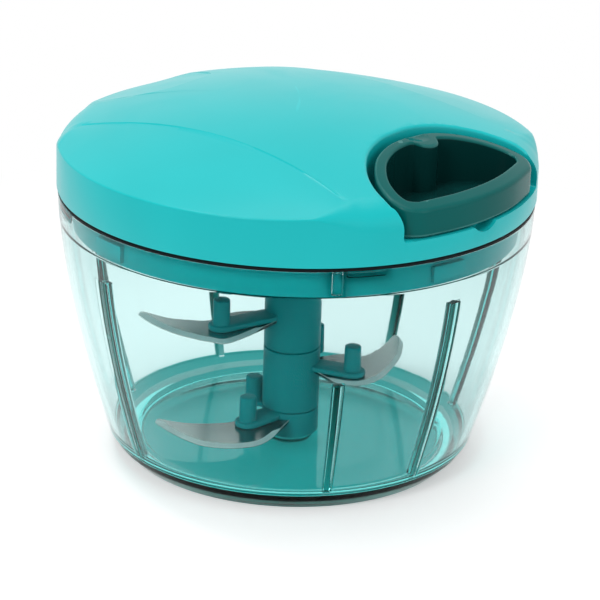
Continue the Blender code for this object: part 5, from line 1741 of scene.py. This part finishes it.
@dataclass
class PullCord:
    """The laid cord: its winding on the drum, the run to the handle and the knot."""

    finishes: Finishes
    handle: HandleForm
    pitch_radius: float = 0.01625
    turns: float = 3.2
    turn_pitch: float = 0.00195
    wall: float = 0.0020
    bend: float = 0.0015
    knot_radius: float = 0.00125
    turns_per_metre: float = 210.0
    spacing: float = 0.00035

    def corner(self) -> Vector:
        """Plan place, in the handle's axes, where the cord turns towards its guide."""
        mouth = self.handle.recess_back(self.handle.boss_across) - 2 * self.wall
        return Vector((mouth - self.wall, self.handle.boss_across))

    def leave(self) -> float:
        """Azimuth, from the pull's direction, where the cord leaves the drum."""
        corner = self.corner()
        return math.atan2(corner.y, corner.x) + math.acos(self.pitch_radius / corner.length)

    def build(self) -> None:
        """Make the winding, the run and the knot."""
        self.winding()
        self.run()
        self.knot()

    def winding(self) -> None:
        """The cord on the drum, turn above turn."""
        start = self.leave() + math.radians(HANDLE_AZIMUTH)
        points = []
        count = int(self.turns * 72)
        for i in range(count + 1):
            a = start + 2 * math.pi * i / 72
            points.append((self.pitch_radius * math.cos(a), self.pitch_radius * math.sin(a),
                           CORD_LEVEL + self.turn_pitch * i / 72))
        wound = ROPE.grow("cord_on_drum", line_mesh("cord_on_drum", points), self.finishes.cord,
                          Radius=CORD_RADIUS, Strands=3, Turns_per_Metre=self.turns_per_metre, Spacing=self.spacing)
        place(weld(wound), "drum", ("cord_winding",))

    def run(self) -> None:
        """The stretch from the drum through the guide to the handle."""
        leave = self.leave()
        drum_side = Vector((self.pitch_radius * math.cos(leave), self.pitch_radius * math.sin(leave)))
        corner = self.corner()
        along = (corner - drum_side).normalized()
        clear = math.sqrt((self.pitch_radius + 2 * CORD_RADIUS + 0.0004) ** 2 - self.pitch_radius ** 2)
        before, after = corner - along * self.bend, corner + Vector((self.bend, 0.0))
        curve = [before.lerp(corner, t / 8).lerp(corner.lerp(after, t / 8), t / 8) for t in range(9)]
        exit_out = corner.x + 3 * self.wall + 0.0006
        knot_face = self.handle.boss_out - 0.0021
        plan = [tuple(drum_side + along * clear), *(tuple(p) for p in curve), (exit_out, corner.y)]
        fine = 260
        plan += [(exit_out + (knot_face - exit_out) * i / fine, corner.y) for i in range(1, fine + 1)]
        points = [(x, y, CORD_LEVEL) for x, y in pull_plan(plan)]
        laid = self.tube("cord_to_handle", points)
        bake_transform(laid)
        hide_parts("cord_run")
        LOG.info("%s stretches between the lid and the handle", laid.name)

    def tube(self, name: str, points: Sequence[Point]) -> bpy.types.Object:
        """A round cord through every point, closed at its ends."""
        sides = 14
        rows = []
        for i, point in enumerate(points):
            before, after = Vector(points[max(i - 1, 0)]), Vector(points[min(i + 1, len(points) - 1)])
            along = (after - before).normalized()
            side = Vector((-along.y, along.x, 0.0))
            row = []
            for k in range(sides):
                a = 2 * math.pi * k / sides
                spot = Vector(point) + (side * math.cos(a) + Vector((0.0, 0.0, 1.0)) * math.sin(a)) * CORD_RADIUS
                row.append(tuple(spot))
            rows.append(row)
        return dress(smooth(loft(name, rows, cap_first=True, cap_last=True), 60.0), self.finishes.cord)

    def knot(self) -> None:
        """The overhand knot in the pocket of the handle's boss."""
        x, y = pull_plan([(self.handle.boss_out + GAP, self.handle.boss_across)])[0]
        points = []
        count = 90
        for i in range(count):
            t = 2 * math.pi * i / count
            reach = self.knot_radius / 3
            points.append((x + reach * (math.sin(t) + 2 * math.sin(2 * t)),
                           y + reach * (math.cos(t) - 2 * math.cos(2 * t)),
                           CORD_LEVEL - 1.1 * reach * math.sin(3 * t)))
        tied = ROPE.grow("cord_knot_tied", line_mesh("cord_knot_tied", points), self.finishes.cord,
                         Radius=CORD_RADIUS, Strands=3, Turns_per_Metre=300.0, Spacing=0.0003)
        place(weld(tied), "handle", ("cord_knot",))


@dataclass
class LidScrews:
    """The three pan-head screws under the lid's plate."""

    finishes: Finishes
    circle: float = 0.0500
    radius: float = 0.0012
    head_radius: float = 0.0030
    head_height: float = 0.0014
    head_top: float = 0.0706
    length: float = 0.0120
    cross_width: float = 0.0007
    cross_reach: float = 0.0017

    def build(self) -> None:
        """Make one screw with its cross recess and repeat it round the lid."""
        top, foot = self.head_top, self.head_top - self.head_height
        profile = fillet([(0.0, foot), (self.head_radius * 0.72, foot + 0.00015), (self.head_radius, top - 0.0005),
                          (self.head_radius, top), (self.radius, top)], 0.0004)
        threads = 18
        for i in range(threads):
            z = top + (self.length - 0.0008) * i / threads
            step = (self.length - 0.0008) / threads
            profile += [(self.radius, z + step * 0.25), (self.radius * 0.8, z + step * 0.75)]
        profile += [(0.0, top + self.length)]
        screw = turn("lid_screws", profile, self.finishes.screw, 40)
        bars = []
        for number, (across, along) in enumerate(((self.cross_width, self.cross_reach),
                                                  (self.cross_reach, self.cross_width))):
            outline = [(-across, -along), (across, -along), (across, along), (-across, along)]
            bars.append(prism(f"cross_{number}", [(x / 1.0, y / 1.0) for x, y in outline], foot - 0.001,
                              foot + 0.0008))
        combine(screw, bars, Operation.CUT)
        mesh = screw.data.copy()
        bpy.data.objects.remove(screw, do_unlink=True)
        mesh.transform(Matrix.Translation((self.circle, 0.0, 0.0)))
        screws = ROUND.grow("lid_screws", mesh, self.finishes.screw, Count=3,
                            Start=math.radians(HANDLE_AZIMUTH + 60.0), Spread=math.radians(120.0))
        smooth(screws, 30.0)
        place(screws, "lid", ("lid_screw_1", "lid_screw_2", "lid_screw_3"))


@dataclass
class InnerWorks:
    """The CAD nodes that stay as they are and only get finishes."""

    finishes: Finishes

    def build(self) -> None:
        """Give each kept node its material."""
        metal, white = self.finishes.screw, self.finishes.acetal
        chosen = {
            "spindle_pin": metal, "drum_axle": metal, "axle_washer": metal, "axle_screw": metal, "cord_guide": metal,
            "spring_cover": self.finishes.spring, "recoil_spring": self.finishes.spring, "bearing_bush": white,
            "thrust_washer": white, "drive_hub": white, "cord_drum": white, "pawl_1": white, "pawl_2": white,
        }
        for name, material in chosen.items():
            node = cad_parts[name]
            node.data.materials.clear()
            node.data.materials.append(material)
            LOG.info("%s keeps its node", name)


@dataclass
class Studio:
    """A plain pale floor, a white surround, soft lamps and the photograph's camera."""

    target: Point = (0.0, 0.0, 0.045)
    distance: float = 0.736
    elevation: float = 20.8
    roll: float = 1.75
    focal_pixels: float = 2807.0
    image_pixels: float = 600.0
    target_pixel: Plan = (294.0, 279.7)
    floor_radius: float = 4.0
    surround: float = 0.50

    def white_for_views(self, shape: Tree) -> bpy.types.NodeSocket:
        """1 for rays from the camera, mirrors and clear pieces, else 0."""
        path = shape.put("ShaderNodeLightPath").outputs
        seen = shape.math("MAXIMUM", path["Is Camera Ray"], path["Is Glossy Ray"])
        return shape.math("MAXIMUM", seen, path["Is Transmission Ray"])

    def build(self) -> None:
        """Make the floor, surround, lamps and camera."""
        self.floor()
        self.world()
        self.lamp("key_softbox", (-0.60, -0.95, 0.80), 0.40, 0.25)
        self.lamp("top_softbox", (-0.05, 0.25, 1.25), 0.80, 0.30)
        self.lamp("top_spot", (-0.40, 0.20, 1.20), 0.12, 0.16)
        self.lamp("fill_softbox", (0.95, -0.55, 0.60), 0.90, 0.10)
        self.camera()
        view = bpy.context.scene.view_settings
        view.view_transform = "Standard"

    def floor(self) -> None:
        """A round pale floor that turns to plain white away from the object."""
        rim = [on_circle(self.floor_radius, 5.0 * i) for i in range(72)]
        mesh = bpy.data.meshes.new("studio_floor")
        mesh.from_pydata(rim, [], [tuple(range(72))])
        floor = link_mesh("studio_floor", mesh)
        made = bpy.data.materials.new("pale_floor")
        made.use_nodes = True
        shape = Tree(made.node_tree)
        shader = made.node_tree.nodes["Principled BSDF"]
        output = made.node_tree.nodes["Material Output"]
        place_on = shape.put("ShaderNodeTexCoord").outputs["Object"]
        grain = shape.put("ShaderNodeTexNoise", {"Vector": place_on, "Scale": 400.0, "Detail": 2.0})
        pale = shape.put("ShaderNodeMix", {0: grain.outputs["Fac"], 6: (0.90, 0.90, 0.90, 1.0),
                                           7: (0.92, 0.92, 0.92, 1.0)}, data_type="RGBA")
        shape.tree.links.new(pale.outputs[2], shader.inputs["Base Color"])
        shader.inputs["Roughness"].default_value = 0.6
        shader.inputs["Specular IOR Level"].default_value = 0.2
        reach = shape.put("ShaderNodeVectorMath", {0: place_on}, operation="LENGTH").outputs["Value"]
        away = shape.put("ShaderNodeMapRange", {"Value": reach, "From Min": 0.085, "From Max": 0.23, "To Min": 0.0,
                                                "To Max": 1.0}, interpolation_type="SMOOTHSTEP")
        seen = self.white_for_views(shape)
        glow = shape.put("ShaderNodeEmission", {"Color": (1.0, 1.0, 1.0, 1.0),
                                                "Strength": shape.math("MULTIPLY", seen, 0.40)})
        lit = shape.put("ShaderNodeAddShader", {0: shader.outputs[0], 1: glow.outputs[0]})
        plain = shape.put("ShaderNodeEmission", {"Color": (1.0, 1.0, 1.0, 1.0), "Strength": 1.0})
        mixed = shape.put("ShaderNodeMixShader", {0: shape.math("MULTIPLY", away.outputs[0], seen),
                                                  1: lit.outputs[0], 2: plain.outputs[0]})
        shape.tree.links.new(mixed.outputs[0], output.inputs["Surface"])
        dress(floor, made)

    def world(self) -> None:
        """White where it is seen, and a plain soft light elsewhere."""
        world = bpy.data.worlds.new("surround")
        world.use_nodes = True
        shape = Tree(world.node_tree)
        background = world.node_tree.nodes["Background"]
        seen = self.white_for_views(shape)
        strength = shape.math("ADD", self.surround, shape.math("MULTIPLY", seen, 1.0 - self.surround))
        background.inputs["Color"].default_value = (1.0, 1.0, 1.0, 1.0)
        shape.tree.links.new(strength, background.inputs["Strength"])
        bpy.context.scene.world = world

    def lamp(self, name: str, at: Point, size: float, share: float) -> None:
        """A square soft lamp aimed at the object.

        Args:
            name: The lamp's name.
            at: Where it hangs.
            size: The length of its side.
            share: What it adds to a white surface that faces it, where 1 is white.
        """
        light = bpy.data.lights.new(name, "AREA")
        light.size = size
        away = Vector(at) - Vector(self.target)
        light.energy = share * math.pi ** 2 * away.length_squared
        item = bpy.data.objects.new(name, light)
        item.location = at
        item.rotation_euler = away.to_track_quat("Z", "Y").to_euler()
        bpy.context.scene.collection.objects.link(item)

    def camera(self) -> None:
        """The camera at the photograph's viewing angle, rolled and aimed as it was."""
        e, roll = math.radians(self.elevation), math.radians(self.roll)
        forward = Vector((0.0, math.cos(e), -math.sin(e)))
        right, up = Vector((1.0, 0.0, 0.0)), Vector((0.0, math.sin(e), math.cos(e)))
        side = right * math.cos(roll) + up * math.sin(roll)
        top = up * math.cos(roll) - right * math.sin(roll)
        middle = self.image_pixels / 2
        aim = (forward + side * ((middle - self.target_pixel[0]) / self.focal_pixels)
               - top * ((middle - self.target_pixel[1]) / self.focal_pixels)).normalized()
        side = aim.cross(top).normalized()
        top = side.cross(aim)
        lens = bpy.data.cameras.new("photo_camera")
        lens.sensor_width = 36.0
        lens.lens = 36.0 * self.focal_pixels / self.image_pixels
        lens.clip_start = 0.01
        item = bpy.data.objects.new("photo_camera", lens)
        turned = Matrix((side, top, -aim)).transposed().to_4x4()
        item.matrix_world = Matrix.Translation(Vector(self.target) - forward * self.distance) @ turned
        bpy.context.scene.collection.objects.link(item)
        bpy.context.scene.camera = item


UPPER_BLADE = BladeForm(
    "blade_upper", 0.0352,
    ((-0.0155, -0.0203), (-0.0210, -0.0203), (-0.0255, -0.0183), (-0.0295, -0.0160), (-0.0335, -0.0126),
     (-0.0370, -0.0087), (-0.0405, -0.0034)),
    ((-0.0390, -0.0026), (-0.0356, -0.0046), (-0.0320, -0.0065), (-0.0268, -0.0074), (-0.0216, -0.0072),
     (-0.0158, -0.0010)),
    (-158.0, 0.0072), ((-0.0184, -0.0128), (-0.0032, 0.0097)))
MIDDLE_BLADE = BladeForm(
    "blade_middle", 0.0209,
    ((0.0110, -0.0105), (0.0168, -0.0124), (0.0217, -0.0095), (0.0248, -0.0046), (0.0270, 0.0010),
     (0.0287, 0.0060), (0.0297, 0.0110), (0.0302, 0.0180)),
    ((0.0280, 0.0220), (0.0266, 0.0190), (0.0250, 0.0148), (0.0230, 0.0110), (0.0184, 0.0060), (0.0134, 0.0074)),
    (2.0, 0.0072), ((0.0160, -0.0065), (0.0063, 0.0080)))
LOWER_BLADE = BladeForm(
    "blade_lower", 0.0077,
    ((-0.0062, -0.0208), (-0.0132, -0.0248), (-0.0208, -0.0245), (-0.0257, -0.0216), (-0.0307, -0.0165),
     (-0.0352, -0.0105)),
    ((-0.0342, -0.0092), (-0.0282, -0.0110), (-0.0232, -0.0112), (-0.0182, -0.0105), (-0.0145, -0.0090)),
    (-122.0, 0.0072), ((-0.0110, -0.0112), (-0.0098, 0.0030)))


def main() -> None:
    """Build the studio and every sub-assembly."""
    logging.basicConfig(level=logging.INFO, format="%(name)s: %(message)s")
    finishes = Finishes()
    Studio().build()
    lid_form, handle_form = LidForm(), HandleForm()
    blades = (UPPER_BLADE, MIDDLE_BLADE, LOWER_BLADE)
    Bowl(finishes).build()
    Lid(finishes, lid_form, handle_form).build()
    LidBase(finishes).build()
    PullHandle(finishes, handle_form).build()
    BladeColumn(finishes, blades).build()
    Blades(finishes, blades).build()
    PullCord(finishes, handle_form).build()
    LidScrews(finishes).build()
    InnerWorks(finishes).build()


if __name__ == "__main__":
    main()
